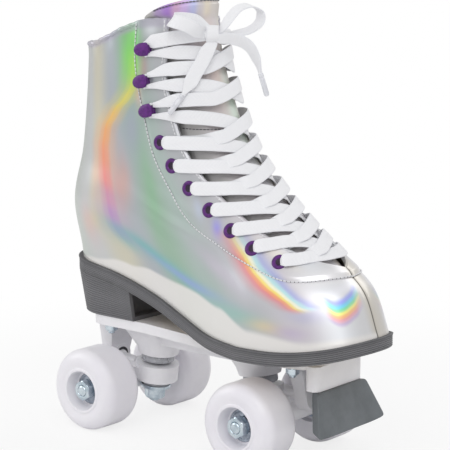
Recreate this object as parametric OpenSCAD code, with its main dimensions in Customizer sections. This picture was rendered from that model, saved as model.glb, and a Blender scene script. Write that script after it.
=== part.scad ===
// Quad roller skate: a laced high boot on a heeled sole, with a plate, two sprung trucks and a toe stop.
// Millimetres. +X points to the toe, +Y to the skate's left side, +Z up. The wheels stand on Z = 0.

/* [Wheels] */
// Diameter of a wheel
wheel_d = 58; // [54:0.5:64]
// Width of a wheel
wheel_w = 33; // [29:0.5:37]
// Radius of a wheel's rounded shoulder
wheel_shoulder_r = 8; // [4:0.5:10]
// Diameter of the recess in a wheel's outer face
wheel_recess_d = 28.5; // [26:0.5:34]
// Depth from a wheel's outer face to its outer bearing
outer_recess = 9; // [8:0.5:11]
// Depth from a wheel's inner face to its inner bearing
inner_recess = 4; // [3:0.5:6]

/* [Bearings] */
// Outside diameter of a bearing
bearing_d = 22; // [20:0.5:23]
// Width of a bearing
bearing_w = 7; // [5:0.5:8]
// Outside diameter of a bearing's inner ring
race_d = 12; // [11:0.5:13]

/* [Axles] */
// Distance between the two axles
wheelbase = 140; // [132:1:150]
// Distance between the wheel centres on one axle
track = 79.5; // [76:0.5:88]
// Diameter of an axle
axle_d = 8; // [7:0.5:9]
// Width across the flats of an axle nut
axle_nut_af = 13; // [12:0.5:15]
// Height of an axle nut
axle_nut_h = 6.5; // [5:0.5:7.5]

/* [Trucks] */
// Distance from an axle to its kingpin
ring_x = 21.5; // [20:0.5:25]
// Height of the kingpin ring's centre above the axle
ring_dz = 8; // [4:0.5:9]
// Outside diameter of the kingpin ring
ring_d = 31; // [28:0.5:34]
// Height of the kingpin ring
ring_h = 12; // [10:0.5:14]
// Distance from an axle to its pivot ball
pivot_x = 14; // [13:0.5:18]
// Tilt of the steering axis
steer_tilt = 7.2; // [5:0.1:10]
// Greatest lean of a truck to either side, in degrees
steer_range = 8; // [4:0.5:10]
// Diameter of a pivot ball
pivot_ball_d = 10; // [8:0.5:11]
// Diameter of the axle tube
tube_d = 17; // [14:0.5:19]
// Diameter of a kingpin
kingpin_d = 8; // [7:0.5:9]
// Diameter of an upper cushion
upper_cushion_d = 24; // [20:0.5:27]
// Height of an upper cushion
upper_cushion_h = 7.7; // [6:0.1:10]
// Diameter of a lower cushion
lower_cushion_d = 20; // [17:0.5:22]
// Height of a lower cushion
lower_cushion_h = 4.7; // [4:0.1:7]

/* [Plate] */
// Height of the sole's underside at the ball, above the axles
ride_h = 43.5; // [41:0.5:50]
// Width of the plate
plate_w = 52; // [44:1:58]
// Thickness of the plate's deck
deck_t = 7; // [5:0.5:8]
// Height of the heel's seat above the ball's
heel_seat_h = 5; // [3:0.5:8]
// Diameter of a kingpin boss at its lower end
boss_d = 29; // [26:0.5:32]
// Depth of the nose below the sole at the ball
nose_depth = 18.5; // [15:0.5:22]
// Diameter of a mounting bolt
mount_bolt_d = 5; // [4:0.5:6]
// Distance between the two mounting bolts of a pair
mount_bolt_gap = 40; // [34:1:44]

/* [Toe stop] */
// Width of the toe stop at its top
stop_w_top = 54; // [44:1:60]
// Width of the toe stop at its foot
stop_w_foot = 76; // [64:1:84]
// Height of the toe stop
stop_h = 27; // [22:0.5:32]
// Thickness of the toe stop
stop_t = 12; // [10:0.5:14]
// How far the toe stop leans forward at its foot
stop_lean = 9; // [4:0.5:14]
// Diameter of the toe stop's bolt
stop_bolt_d = 6; // [5:0.5:7]

/* [Sole] */
// Length of the sole
sole_len = 264; // [250:1:280]
// Width of the sole at the ball
sole_w = 100; // [92:1:106]
// Width of the sole at the heel
heel_w = 62; // [56:1:70]
// Thickness of the sole
sole_t = 9; // [7:0.5:11]
// Rise of the sole's underside at the back of the heel
heel_rise = 38; // [34:0.5:44]
// Rise of the sole's underside at the toe
toe_spring = 13; // [8:0.5:16]
// How far the toe swings to the right
toe_swing = 8; // [0:0.5:12]
// Depth of the grooves round the sole and heel
groove_depth = 0.8; // [0.4:0.1:1.2]
// Thickness of the insole
insole_t = 3; // [2:0.5:5]

/* [Boot] */
// Height of the collar's front above the sole's underside at the ball
boot_h = 217.5; // [200:0.5:235]
// Width of the shaft
shaft_w = 67; // [60:0.5:74]
// Thickness of the upper
upper_t = 2.2; // [1.6:0.1:2.6]
// Width of the sole's edge outside the upper
welt = 2.5; // [1.5:0.1:4]
// Thickness of an eyestay
eyestay_t = 1; // [0.6:0.1:1.4]
// Thickness of the lining
lining_t = 1.5; // [1:0.1:2]
// Thickness of the tongue
tongue_t = 4.5; // [3:0.5:7]
// How far the tongue stands above the collar
tongue_up = 15; // [8:1:24]
// Diameter of an eyelet's flange
eyelet_d = 10.4; // [9:0.2:12]
// Inside diameter of an eyelet
eyelet_bore = 5.2; // [4.4:0.2:6]

/* [Laces] */
// Width of the flat lace
lace_w = 9.5; // [7:0.5:10]
// Thickness of the flat lace
lace_t = 1.2; // [0.8:0.1:1.4]
// Diameter of an aglet
aglet_d = 3.6; // [3:0.2:5]
// Length of an aglet
aglet_len = 16; // [12:1:20]

/* [Hidden] */
$fn = 64;
foam_white = "whitesmoke";
foil = "lightsteelblue";
grey = "dimgray";
zinc = "silver";
lilac = "indigo";

// Running and seating clearances
run_fit = 0.05;
seat_fit = 0.1;
soft_gap = 0.3;

// Heights of the axles and of the sole's underside at the ball
axle_z = wheel_d / 2;
deck_z = axle_z + ride_h;
chassis_x = -18;

// Places along an axle, measured from the skate's middle
wheel_y = track / 2;
inner_face_y = wheel_y - wheel_w / 2;
hanger_gap = 0.75;
tube_half = inner_face_y - hanger_gap;
inner_bearing_y = inner_face_y + inner_recess;
outer_bearing_y = wheel_y + wheel_w / 2 - outer_recess;
axle_washer_t = 1.2;
axle_tip = 1;
axle_half = outer_bearing_y + axle_washer_t + axle_nut_h + axle_tip;

// Places on a truck, measured from its axle
pivot_dz = ring_dz + (ring_x + pivot_x) * tan(steer_tilt);
ring_bore_r = kingpin_d / 2 + ring_h / 2 * tan(steer_range) + 0.5;
boss_z = ring_h / 2 + soft_gap + upper_cushion_h;
boss_sink = 5.5;
boss_h = ride_h - ring_dz - boss_z - boss_sink;
boss_flare = 9;
washer_z = -(ring_h / 2 + soft_gap + lower_cushion_h);
cup_washer_t = 1.5;
cup_rim_h = 1.4;
kingpin_nut_h = 8;
kingpin_nut_af = 13;
kingpin_top = boss_z + boss_h - 2;
kingpin_foot = washer_z - cup_washer_t - kingpin_nut_h - 2;
relief = tan(steer_range + 0.5);
cup_d = pivot_ball_d + 4;
cup_len = 8;
housing_d = cup_d + 5;
housing_len = 10.5;

// Places on the plate
rear_boss_x = chassis_x - wheelbase / 2 + ring_x;
front_boss_x = chassis_x + wheelbase / 2 - ring_x;
plate_back = chassis_x - wheelbase / 2 - pivot_x - 8;
plate_front = chassis_x + wheelbase / 2 + 44;
heel_seat_front = -53;
sole_seat_back = 24;
plate_corner = 14;
nose_t = 11;
nose_corner = 5;
rear_bolt_x = -92;
front_bolt_x = 72;
mount_nut_h = 4.5;
mount_nut_af = 8;
bolt_head_h = 2.4;
stop_x = plate_front + 2;
stop_taper = 11;
stop_round = 2;
stop_bolt_grip = 14;
stop_bolt_in_nose = 9;
stop_head_ratio = 1.7;
stop_lean_deg = atan2(stop_lean, stop_h);

// The boot's shape, drawn for a sole of this length, width and boot height
drawn_len = 264;
drawn_h = 217.5;
kx = sole_len / drawn_len;
kz = boot_h / drawn_h;
heel_x = -130 * kx;
toe_x = heel_x + sole_len;
heel_curve = [[-130, 1], [-80, 0.8], [-38, 0.51], [-10, 0.26], [17, 0.06], [48, 0]];
toe_curve = [[48, 0], [82, 0.14], [112, 0.5], [136, 1]];
// Instep line from the toe box up to the shaft's front, and back line from the heel up to the collar
instep = [[118.5, 49], [92, 68], [66.5, 87.5], [43, 107], [21, 130.5], [7, 157.5], [-4, 187], [-10, 217.5]];
backline = [[-134, 85.5], [-127, 123.5], [-122.5, 162], [-120, 198.5]];
collar_rise = 18.5;
// Length of the rounded front and back of a level, against the height from sole (0) to collar (1)
front_round = [[0, 75], [0.08, 72], [0.18, 66], [0.3, 62], [0.45, 58], [0.6, 55], [0.8, 54], [1, 58]];
back_round = [[0, 31], [0.3, 46], [1, 54]];
toe_fullness = 2.3;
heel_fullness = 2.2;
ankle_bulge = 4;
seam_gap = 0.15;
feather_gap = 0.3;
// Lines on the boot's skin: height against place round the level, back (0) to instep (1)
throat_b = 0.205;
facing = [[0.205, 1], [0.215, 0.965], [0.235, 0.93], [0.26, 0.897], [0.3, 0.85], [0.37, 0.8], [0.44, 0.765],
    [0.57, 0.708], [0.65, 0.69], [0.75, 0.683], [0.84, 0.683], [0.92, 0.703], [1, 0.72]];
eyelet_line = [[0.25, 0.81], [0.3, 0.755], [0.44, 0.68], [0.57, 0.62], [0.75, 0.588], [0.84, 0.588],
    [0.92, 0.61]];
eyestay_rim = [[0.572, 1], [0.553, 0.9], [0.55, 0.8], [0.555, 0.7], [0.557, 0.58], [0.575, 0.47], [0.6, 0.38],
    [0.66, 0.31], [0.72, 0.25], [0.785, 0.195], [0.88, 0.18], [1, 0.172]];
facing_b = [1, 0.92, 0.84, 0.75, 0.65, 0.57, 0.44, 0.37, 0.3, 0.26, 0.235, 0.205];
eyelet_levels = [0.255, 0.305, 0.365, 0.435, 0.505, 0.575, 0.645];
hook_levels = [0.74, 0.825, 0.915];
levels = concat(eyelet_levels, hook_levels);
eyestay_lift = 0.35;
eyelet_wall = 0.5;
eyelet_flange_t = 1;
tongue_drop = 6.8;
tongue_crown = 3.9;

// The bow's knot and the routes of its laces, measured from the front of the collar
knot_at = [7, -12, -10];
knot_r = 6.5;
knot_pinch = 0.6;
loop_right_route = [[3.5, -18, -10], [3, -27.5, -6], [-1, -33, -2.8], [-6.5, -35, -1.5], [-11.5, -32.5, -1],
    [-12, -28.8, -0.6], [-8, -25.3, -0.3], [-1.5, -21.5, -1.4], [3.1, -16.3, -5.2]];
loop_left_route = [[13, -9.5, -6.5], [16, -6, 0], [20, -1.5, 6.5], [25, 4.5, 8.5], [29.5, 10, 4.5],
    [29, 10, -2.5], [24.5, 5.5, -7.5], [17, 0, -10], [10.5, -6, -12]];
tail_right_route = [[8, -14, -16.5], [6, -16.5, -21.5], [4, -19.5, -28.5], [1.5, -23.5, -36],
    [-0.5, -27, -43], [-3, -30.5, -49.5]];
tail_left_route = [[13, -12.5, -13], [19, -9, -13], [24.5, -4, -14.5], [29, 0.5, -19], [32, 3.5, -27],
    [34, 5, -35.5]];
tail_right_end = [-5, -6.5, -11];
tail_left_end = [2.5, 3, -13];
// Directions across the lace in each loop and tail
loop_right_edge = [0.4, 0.5, 0.77];
loop_left_edge = [0.95, -0.2, -0.22];
tail_right_edge = [0.74, 0.52, -0.42];
tail_left_edge = [0.41, -0.33, 0.85];

right = -1;
left = 1;
rear = -1;
front = 1;

// Curves and vectors
function unit(v) = v / norm(v);
function clamp01(t) = min(1, max(0, t));
function ease(t) = let (u = clamp01(t)) u * u * (3 - 2 * u);
function mix(a, b, t) = a + (b - a) * t;
// Smooth curve through the points k, t from 0 to 1
function through(k, t) =
    let (n = len(k) - 1, s = clamp01(t) * n, i = min(floor(s), n - 1), u = s - i,
        b = k[i], c = k[i + 1], a = i > 0 ? k[i - 1] : 2 * b - c, d = i < n - 1 ? k[i + 2] : 2 * c - b)
    0.5 * (2 * b + (c - a) * u + (2 * a - 5 * b + 4 * c - d) * u * u + (3 * b - a - 3 * c + d) * u * u * u);
// Smooth value at x from a table of [x, value] rows
function table_slope(k, i) =
    let (a = max(i - 1, 0), b = min(i + 1, len(k) - 1)) (k[b][1] - k[a][1]) / (k[b][0] - k[a][0]);
function value_at(k, x) =
    let (below = [for (j = [0:len(k) - 2]) if (x >= k[j][0]) j],
        i = len(below) > 0 ? below[len(below) - 1] : 0,
        w = k[i + 1][0] - k[i][0], u = clamp01((x - k[i][0]) / w), a = k[i][1], b = k[i + 1][1],
        p = table_slope(k, i) * w, q = table_slope(k, i + 1) * w)
    a + u * p + u * u * (3 * (b - a) - 2 * p - q) + u * u * u * (2 * (a - b) + p + q);

// Sole: rise of its underside, its half width and its swing to the right
function rise(x) = x / kx < heel_curve[5][0]
    ? heel_rise * value_at(heel_curve, x / kx) : toe_spring * value_at(toe_curve, x / kx);
function sole_top(x) = rise(x) + sole_t;
function flank(x) = heel_w / 2 + (sole_w - heel_w) / 2 * ease(pow(clamp01((x / kx + 99) / 156), 1.6));
function end_round(d, r, p) = sqrt(max(0, 1 - pow(clamp01(1 - d / r), p)));
function swing(x) = toe_swing * pow(max(x / kx - chassis_x, 0) / 143, 2);
// Outline of the sole at the place a, heel (0) to toe (1), drawn in by d
function sole_x(a, d) = mix(heel_x + d, toe_x - d, (1 - cos(180 * a)) / 2);
function sole_half(x, d) = (flank(x) - d) * end_round(toe_x - d - x, 77 * kx, toe_fullness)
    * end_round(x - heel_x - d, 31 * kx, heel_fullness);

// Boot: side view between the sole, the back line, the collar and the instep
toe_feather = [toe_x - welt, sole_top(toe_x - welt) + feather_gap];
heel_feather = [heel_x + welt, sole_top(heel_x + welt) + feather_gap];
instep_line = concat([toe_feather], [for (k = instep) [k[0] * kx, k[1] * kz]]);
back_line = concat([heel_feather], [for (k = backline) [k[0] * kx, k[1] * kz]]);
collar_back = back_line[len(back_line) - 1];
collar_front = instep_line[len(instep_line) - 1];
function feather(a) = let (x = mix(heel_feather[0], toe_feather[0], a)) [x, sole_top(x) + feather_gap];
function collar(a) =
    let (x = mix(collar_back[0], collar_front[0], a))
    [x, collar_back[1] + collar_rise * kz * ease((x / kx + 108) / 70)];
function side_view(a, b) = (1 - b) * feather(a) + b * collar(a)
    + (1 - a) * through(back_line, b) + a * through(instep_line, b)
    - (1 - a) * (1 - b) * feather(0) - a * (1 - b) * feather(1) - (1 - a) * b * collar(0) - a * b * collar(1);
function half_width(x, b) =
    let (xr = through(instep_line, b)[0], xb = through(back_line, b)[0],
        bulge = ankle_bulge * sin(180 * clamp01(b / 0.55)) * (1 - ease((x / kx + 20) / 80)))
    (mix(flank(x) - welt, shaft_w / 2, ease(b / 0.45)) + bulge)
    * end_round(xr - x, value_at(front_round, b) * kx, b < 0.3 ? mix(toe_fullness, 2, b / 0.3) : 2)
    * end_round(x - xb, value_at(back_round, b) * kx, heel_fullness);
// Point of the boot's skin: al from the back (0) to the instep (1), b from the sole (0) to the collar (1)
function skin_half(al, b, sd) =
    let (p = side_view((1 - cos(180 * al)) / 2, b))
    [p[0], sd * half_width(p[0], b) - swing(p[0]), p[1] + deck_z];
function skin(al, b, sd) =
    al > 1 ? skin_half(2 - al, b, -sd) : al < 0 ? skin_half(-al, b, -sd) : skin_half(al, b, sd);
function skin_along(al, b, sd) = skin(al + 0.004, b, sd) - skin(al - 0.004, b, sd);
function skin_up(al, b, sd) = skin(al, min(b + 0.004, 1), sd) - skin(al, max(b - 0.004, 0), sd);
function skin_out(al, b, sd) = -sd * unit(cross(skin_along(al, b, sd), skin_up(al, b, sd)));
function skin_off(al, b, sd, d) = skin(al, b, sd) + d * skin_out(al, b, sd);
function facing_al(b) = b <= throat_b ? 1 : value_at(facing, b);
function eyelet_al(b) = value_at(eyelet_line, b);

// Closed solids from grids of points
module grid_solid(outer, inner, turned) {
    rows = len(outer);
    cols = len(outer[0]);
    m = rows * cols;
    pts = concat([for (r = outer) for (p = r) p], [for (r = inner) for (p = r) p]);
    skins = [for (i = [0:rows - 2]) for (j = [0:cols - 2])
        let (a = i * cols + j, b = a + 1, c = a + cols, d = c + 1)
        for (f = [[a, c, d], [a, d, b], [m + a, m + d, m + c], [m + a, m + b, m + d]]) f];
    ends = [for (i = [0:rows - 2]) let (a = i * cols, c = a + cols, e = a + cols - 1, g = c + cols - 1)
        for (f = [[a, m + a, m + c], [a, m + c, c], [e, g, m + g], [e, m + g, m + e]]) f];
    rims = [for (j = [0:cols - 2]) let (a = j, b = j + 1, c = m - cols + j, d = c + 1)
        for (f = [[a, b, m + b], [a, m + b, m + a], [c, m + c, m + d], [c, m + d, d]]) f];
    faces = concat(skins, ends, rims);
    polyhedron(pts, turned ? [for (f = faces) [f[0], f[2], f[1]]] : faces);
}
// Solid through a stack of rings whose points run up one side and back down the other
module ring_solid(rings) {
    n = len(rings[0]);
    top = (len(rings) - 1) * n;
    walls = [for (i = [0:len(rings) - 2]) for (j = [0:n - 1]) let (a = i * n + j, b = i * n + (j + 1) % n)
        for (f = [[a, a + n, b + n], [a, b + n, b]]) f];
    foot = [for (j = [0:n / 2 - 1]) for (f = [[j, j + 1, (n - j) % n], [j + 1, n - j - 1, (n - j) % n]])
        if (f[0] != f[1] && f[1] != f[2] && f[0] != f[2]) f];
    polyhedron([for (r = rings) for (p = r) p],
        concat(walls, foot, [for (f = foot) [top + f[0], top + f[2], top + f[1]]]));
}
// Flat ribbon of lace along points p, with its face turned to the directions f and half widths w
module ribbon(p, f, w) {
    n = len(p);
    section = [[1, 0.5], [0.8, 1], [-0.8, 1], [-1, 0.5], [-1, -0.5], [-0.8, -1], [0.8, -1], [1, -0.5]];
    along = [for (i = [0:n - 1]) unit(p[min(i + 1, n - 1)] - p[max(i - 1, 0)])];
    across = [for (i = [0:n - 1]) unit(cross(f[i], along[i]))];
    pts = [for (i = [0:n - 1]) for (s = section)
        p[i] + s[0] * w[i] * across[i] + s[1] * lace_t / 2 * cross(along[i], across[i])];
    walls = [for (i = [0:n - 2]) for (j = [0:7]) let (a = i * 8 + j, b = i * 8 + (j + 1) % 8)
        for (t = [[a, a + 8, b + 8], [a, b + 8, b]]) t];
    caps = [for (j = [1:6]) for (t = [[0, j, j + 1], [n * 8 - 8, n * 8 - 8 + j + 1, n * 8 - 8 + j]]) t];
    polyhedron(pts, concat(walls, caps));
}

// Boot pieces
upper_rows = concat([for (i = [0:5]) throat_b * i / 6],
    [for (i = [0:17]) mix(throat_b, 1, pow(i / 17, 1.5))]);
upper_cols = 16;
function on_sole(p) = [p[0], p[1], max(p[2], deck_z + sole_top(p[0]) + feather_gap)];
function upper_skin(sd, d) = [for (b = upper_rows) [for (j = [0:upper_cols])
    on_sole(skin_off(facing_al(b) * (1 - j / upper_cols), b, sd, d) + [0, sd * seam_gap, 0])]];
// Frame on the skin: x towards the throat on the right side, y up the facing, z outwards
module on_skin(b, sd, d) {
    al = eyelet_al(b);
    z = skin_out(al, b, sd);
    up = skin_up(al, b, sd);
    y = unit(up - (up * z) * z);
    x = cross(y, z);
    p = skin(al, b, sd) + d * z;
    multmatrix([[x[0], y[0], z[0], p[0]], [x[1], y[1], z[1], p[1]], [x[2], y[2], z[2], p[2]]]) children();
}
eyelet_hole_r = eyelet_bore / 2 + eyelet_wall + seat_fit;
module eyelet_holes(sd) {
    for (b = eyelet_levels) on_skin(b, sd, 0) cylinder(h = 4 * (trim_lift + upper_t), r = eyelet_hole_r, center = true);
}
module upper_half(sd) {
    difference() {
        grid_solid(upper_skin(sd, 0), upper_skin(sd, -upper_t), sd == right);
        eyelet_holes(sd);
    }
}
module upper_right() { color(foil) upper_half(right); }
module upper_left() { color(foil) upper_half(left); }

eyestay_rows = 28;
eyestay_cols = 4;
function facing_pts() = [for (b = facing_b) [facing_al(b), b]];
function eyestay_skin(sd, d) = [for (i = [0:eyestay_rows]) [for (j = [0:eyestay_cols])
    let (t = i / eyestay_rows, q = mix(through(facing_pts(), t), through(eyestay_rim, t), j / eyestay_cols))
    skin_off(min(q[0], 1), min(q[1], 1), sd, d) + [0, sd * seam_gap, 0]]];
module eyestay(sd) {
    difference() {
        grid_solid(eyestay_skin(sd, eyestay_lift + eyestay_t), eyestay_skin(sd, eyestay_lift), sd == left);
        eyelet_holes(sd);
    }
}
module eyestay_right() { color(foil) eyestay(right); }
module eyestay_left() { color(foil) eyestay(left); }

backstay_t = 0.9;
backstay_al = 0.03;
function backstay_skin(d) = [for (i = [0:16]) [for (j = [-2:2])
    skin_off(backstay_al * j / 2, mix(0.01, 0.99, i / 16), right, d)]];
module backstay() {
    color(foil) grid_solid(backstay_skin(eyestay_lift + backstay_t), backstay_skin(eyestay_lift), false);
}

lining_rows = 13;
lining_cols = 24;
lining_al = 0.07;
lining_gap = 0.5;
function lining_skin(d) = [for (i = [0:lining_rows]) [for (j = [0:lining_cols])
    let (b = mix(0.25, 0.985, i / lining_rows), u = 1 - 2 * j / lining_cols)
    skin_off(u * (eyelet_al(b) - lining_al), b, right, d)]];
module quarter_lining() {
    outer = -upper_t - lining_gap;
    color("gainsboro") grid_solid(lining_skin(outer), lining_skin(outer - lining_t), true);
}

tongue_rows = 15;
tongue_cols = 12;
tongue_under = 0.05;
tongue_foot_b = 0.215;
tongue_flare = 0.1;
tongue_lean = 0.12;
tongue_rise_b = tongue_up / (boot_h * 0.32);
function tongue_skin(d) = [for (i = [0:tongue_rows]) [for (j = [-tongue_cols / 2:tongue_cols / 2])
    let (s = mix(tongue_foot_b, 1 + tongue_rise_b, i / tongue_rows), b = min(s, 1), u = j / tongue_cols * 2,
        reach = 1 - facing_al(b) + tongue_under + tongue_flare * ease((s - 0.85) / 0.25),
        over = max(s - 1, 0) / tongue_rise_b)
    skin_off(1 + u * reach, b, right, d - mix(tongue_crown, tongue_drop, u * u))
        + over * tongue_up * (1 - 0.3 * pow(u, 4)) * [tongue_lean, 0, 1]]];
module tongue() { color(foil) grid_solid(tongue_skin(0), tongue_skin(-tongue_t), false); }

// Outline of the sole drawn in by d, and its ring at a depth below the sole's top
sole_steps = 32;
function outline(d) = [for (i = [0:2 * sole_steps - 1])
    let (a = (i <= sole_steps ? i : 2 * sole_steps - i) / sole_steps, sd = i <= sole_steps ? right : left,
        x = sole_x(a, d)) [x, sd * sole_half(x, d) - swing(x)]];
function sole_ring(d, drop) = [for (p = outline(d)) [p[0], p[1], deck_z + sole_top(p[0]) - drop]];
module bolt_holes(d) {
    for (x = [rear_bolt_x, front_bolt_x]) for (y = [-1, 1])
        translate([x, y * mount_bolt_gap / 2, 0]) cylinder(h = deck_z * 3, d = d);
}
sole_bands = 3;
module outsole() {
    band = sole_t / sole_bands;
    groove = band / 4;
    rings = [for (k = [sole_bands - 1:-1:0])
        for (s = [[groove_depth, band], [0, band - groove], [0, groove], [groove_depth, 0]])
            sole_ring(s[0], k * band + s[1])];
    color(grey) difference() {
        ring_solid(rings);
        bolt_holes(mount_bolt_d + 2 * seat_fit);
    }
}
insole_clear = 2.4;
module insole() {
    edge = welt + upper_t + insole_clear;
    color("tan") difference() {
        ring_solid([sole_ring(edge, -soft_gap), sole_ring(edge, -soft_gap - insole_t)]);
        bolt_holes(mount_bolt_d + 2 * seat_fit);
    }
}

// Heel block: its outline runs from the breast round the back
heel_front = -64;
heel_taper = 4;
heel_bands = 8;
heel_steps = 14;
// Pocket in the breast of the heel
breast_wall = 3;
breast_depth = 8;
function heel_outline(d) = [for (i = [0:2 * heel_steps - 1])
    let (a = (i <= heel_steps ? i : 2 * heel_steps - i) / heel_steps, sd = i <= heel_steps ? right : left,
        x = mix(heel_x + d, heel_front, pow(a, 2)))
    [x, sd * sole_half(x, d)]];
function heel_ring(d, t) = [for (p = heel_outline(d + heel_taper * (1 - t)))
    [p[0], p[1], deck_z + mix(heel_seat_h + seat_fit, rise(p[0]) - seat_fit, t)]];
module heel_block() {
    step = 1 / heel_bands;
    rings = [for (k = [0:heel_bands - 1])
        for (s = [[groove_depth, 0], [0, 0.25], [0, 0.75], [groove_depth, 1]])
            heel_ring(s[0], (k + s[1]) * step)];
    half = sole_half(heel_front, heel_taper + groove_depth) - breast_wall;
    foot = heel_seat_h + breast_wall;
    color(grey) difference() {
        ring_solid(rings);
        bolt_holes(mount_bolt_d + 2 * seat_fit);
        translate([heel_front - breast_depth, -half, deck_z + foot])
            cube([breast_depth + 1, 2 * half, rise(heel_front) - breast_wall - foot]);
    }
}

trim_lift = eyestay_lift + eyestay_t + soft_gap;
module eyelet() {
    tube = trim_lift + upper_t + 0.4;
    rotate_extrude() polygon([[eyelet_bore / 2, -tube], [eyelet_bore / 2 + eyelet_wall, -tube],
        [eyelet_bore / 2 + eyelet_wall, seat_fit / 2], [eyelet_d / 2, seat_fit / 2],
        [eyelet_d / 2 - 0.3, eyelet_flange_t * 0.7], [eyelet_d / 2 - 1.4, eyelet_flange_t],
        [eyelet_bore / 2 + 0.4, eyelet_flange_t * 0.8], [eyelet_bore / 2, 0]]);
}
module eyelets(sd) {
    for (b = eyelet_levels) on_skin(b, sd, trim_lift) eyelet();
}
module eyelets_right() { color(lilac) eyelets(right); }
module eyelets_left() { color(lilac) eyelets(left); }

hook_w = 9;
hook_neck_w = 6;
hook_len = 10;
hook_t = 1;
hook_h = 5.6;
module hook_plan() {
    translate([(hook_w - hook_len) / 2, 0]) circle(d = hook_w);
    translate([0, -hook_neck_w / 2]) square([hook_len / 2, hook_neck_w]);
}
module hook(sd) {
    mirror([sd == left ? 1 : 0, 0, 0]) intersection() {
        rotate([90, 0, 0]) linear_extrude(height = hook_w, center = true)
            polygon([[-hook_len / 2, 0], [hook_len / 2, 0], [hook_len / 2, hook_h], [-hook_len / 2, hook_h],
                [-hook_len / 2, hook_h - hook_t], [hook_len / 2 - hook_t, hook_h - hook_t],
                [hook_len / 2 - hook_t, hook_t], [-hook_len / 2, hook_t]]);
        linear_extrude(height = hook_h) hook_plan();
    }
}
module hooks(sd) {
    for (b = hook_levels) on_skin(b, sd, trim_lift) hook(sd);
}
module hooks_right() { color(lilac) hooks(right); }
module hooks_left() { color(lilac) hooks(left); }

// Lacing: each run goes into an eyelet from above, crosses the throat and comes from under the other facing a level below
lace_over = trim_lift + eyelet_flange_t + lace_t / 2 + 0.2;
lace_under = -upper_t - 0.8 - lace_t / 2;
hook_clear = 0.055;
run_steps = 14;
low_lift = lace_t / 2 + 0.2;
high_lift = 1.5 * lace_t + 0.8;
// Place across the throat: the right side's eyelet line is negative, the left side's positive
function across_al(s, b) = s * (1 - eyelet_al(b) - (b >= hook_levels[0] ? hook_clear : 0));
function dip_at(lift) = lift > low_lift ? 0.57 : 0.5;
function run_offset(t, lift, tucked) =
    t < 0.5 ? mix(lace_over, lift, ease((t - 0.14) / 0.28))
    : tucked ? mix(lift, lace_under, ease((t - dip_at(lift)) / 0.2))
    : mix(lift, lace_over, ease((t - 0.62) / 0.25));
function run_half(t, tucked) = lace_w / 2 * mix(0.5, 1, ease(min(t, tucked ? 1 : 1 - t) / 0.12));
function run_t(i) = 0.97 * i / run_steps;
module lace_run(s, b0, b1, lift, tucked) {
    list = [for (i = [0:run_steps]) let (t = run_t(i), b = mix(b0, b1, t),
        w = mix(across_al(s, b0), across_al(-s, b1), t)) [1 + w, b, t]];
    ribbon([for (q = list) skin_off(q[0], q[1], right, run_offset(q[2], lift, tucked))],
        [for (q = list) skin_out(q[0], q[1], right)], [for (q = list) run_half(q[2], tucked)]);
}
// The lace bunches up where it comes through an eyelet
module lace_stems(s) {
    for (b = eyelet_levels) on_skin(b, s, lace_under)
        cylinder(h = lace_over - lace_under, r = eyelet_bore / 2 - soft_gap);
}
// The lace's two ends go from the top hooks over the tongue to the knot
knot_b = 0.955;
knot_centre = [collar_front[0], 0, deck_z + collar_front[1]] + knot_at;
function knot_al(s) = s == right ? -0.2 : -0.02;
module knot_strand(s) {
    b0 = hook_levels[len(hook_levels) - 1];
    list = [for (i = [0:run_steps]) let (t = i / run_steps)
        [1 + mix(across_al(s, b0), knot_al(s), t), mix(b0, knot_b, t), t]];
    meet = skin_off(1 + knot_al(s), knot_b, right, lace_over) - knot_centre;
    seat = knot_centre + (knot_r + soft_gap) * unit(meet);
    ribbon([for (q = list) mix(skin_off(q[0], q[1], right, lace_over), seat, ease((q[2] - 0.5) / 0.5))],
        [for (q = list) skin_out(q[0], q[1], right)], [for (q = list) run_half(q[2], false)]);
}
module lacing() {
    color(foam_white) {
        for (s = [right, left]) lace_stems(s);
        lace_run(right, levels[0], levels[0], low_lift, false);
        for (i = [0:len(levels) - 2]) {
            lace_run(right, levels[i + 1], levels[i], low_lift, i < len(eyelet_levels));
            lace_run(left, levels[i + 1], levels[i], high_lift, i < len(eyelet_levels));
        }
        for (s = [right, left]) knot_strand(s);
    }
}

// Bow
function route(k, n) = [for (i = [0:n]) through(k, i / n)];
module free_lace(k, edge, looped) {
    n = 2 * len(k);
    p = route(k, n);
    ribbon(p, [for (i = [0:n]) cross(p[min(i + 1, n)] - p[max(i - 1, 0)], edge)],
        [for (i = [0:n]) lace_w / 2 * mix(knot_pinch, 1, ease((looped ? min(i, n - i) : i) / 4))]);
}
module at_collar() { translate([collar_front[0], 0, deck_z + collar_front[1]]) children(); }
module lace_knot() { color(foam_white) at_collar() translate(knot_at) sphere(r = knot_r); }
module lace_loop_right() { color(foam_white) at_collar() free_lace(loop_right_route, loop_right_edge, true); }
module lace_loop_left() { color(foam_white) at_collar() free_lace(loop_left_route, loop_left_edge, true); }
module lace_tail_right() { color(foam_white) at_collar() free_lace(tail_right_route, tail_right_edge, false); }
module lace_tail_left() { color(foam_white) at_collar() free_lace(tail_left_route, tail_left_edge, false); }
aglet_gap = 0.6;
module aglet(k, run) {
    z = unit(run);
    x = unit(cross([0, 1, 0], z));
    y = cross(z, x);
    p = k[len(k) - 1] + aglet_gap * z;
    multmatrix([[x[0], y[0], z[0], p[0]], [x[1], y[1], z[1], p[1]], [x[2], y[2], z[2], p[2]]])
        cylinder(h = aglet_len, d = aglet_d);
}
module aglet_right() { color(foam_white) at_collar() aglet(tail_right_route, tail_right_end); }
module aglet_left() { color(foam_white) at_collar() aglet(tail_left_route, tail_left_end); }

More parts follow.
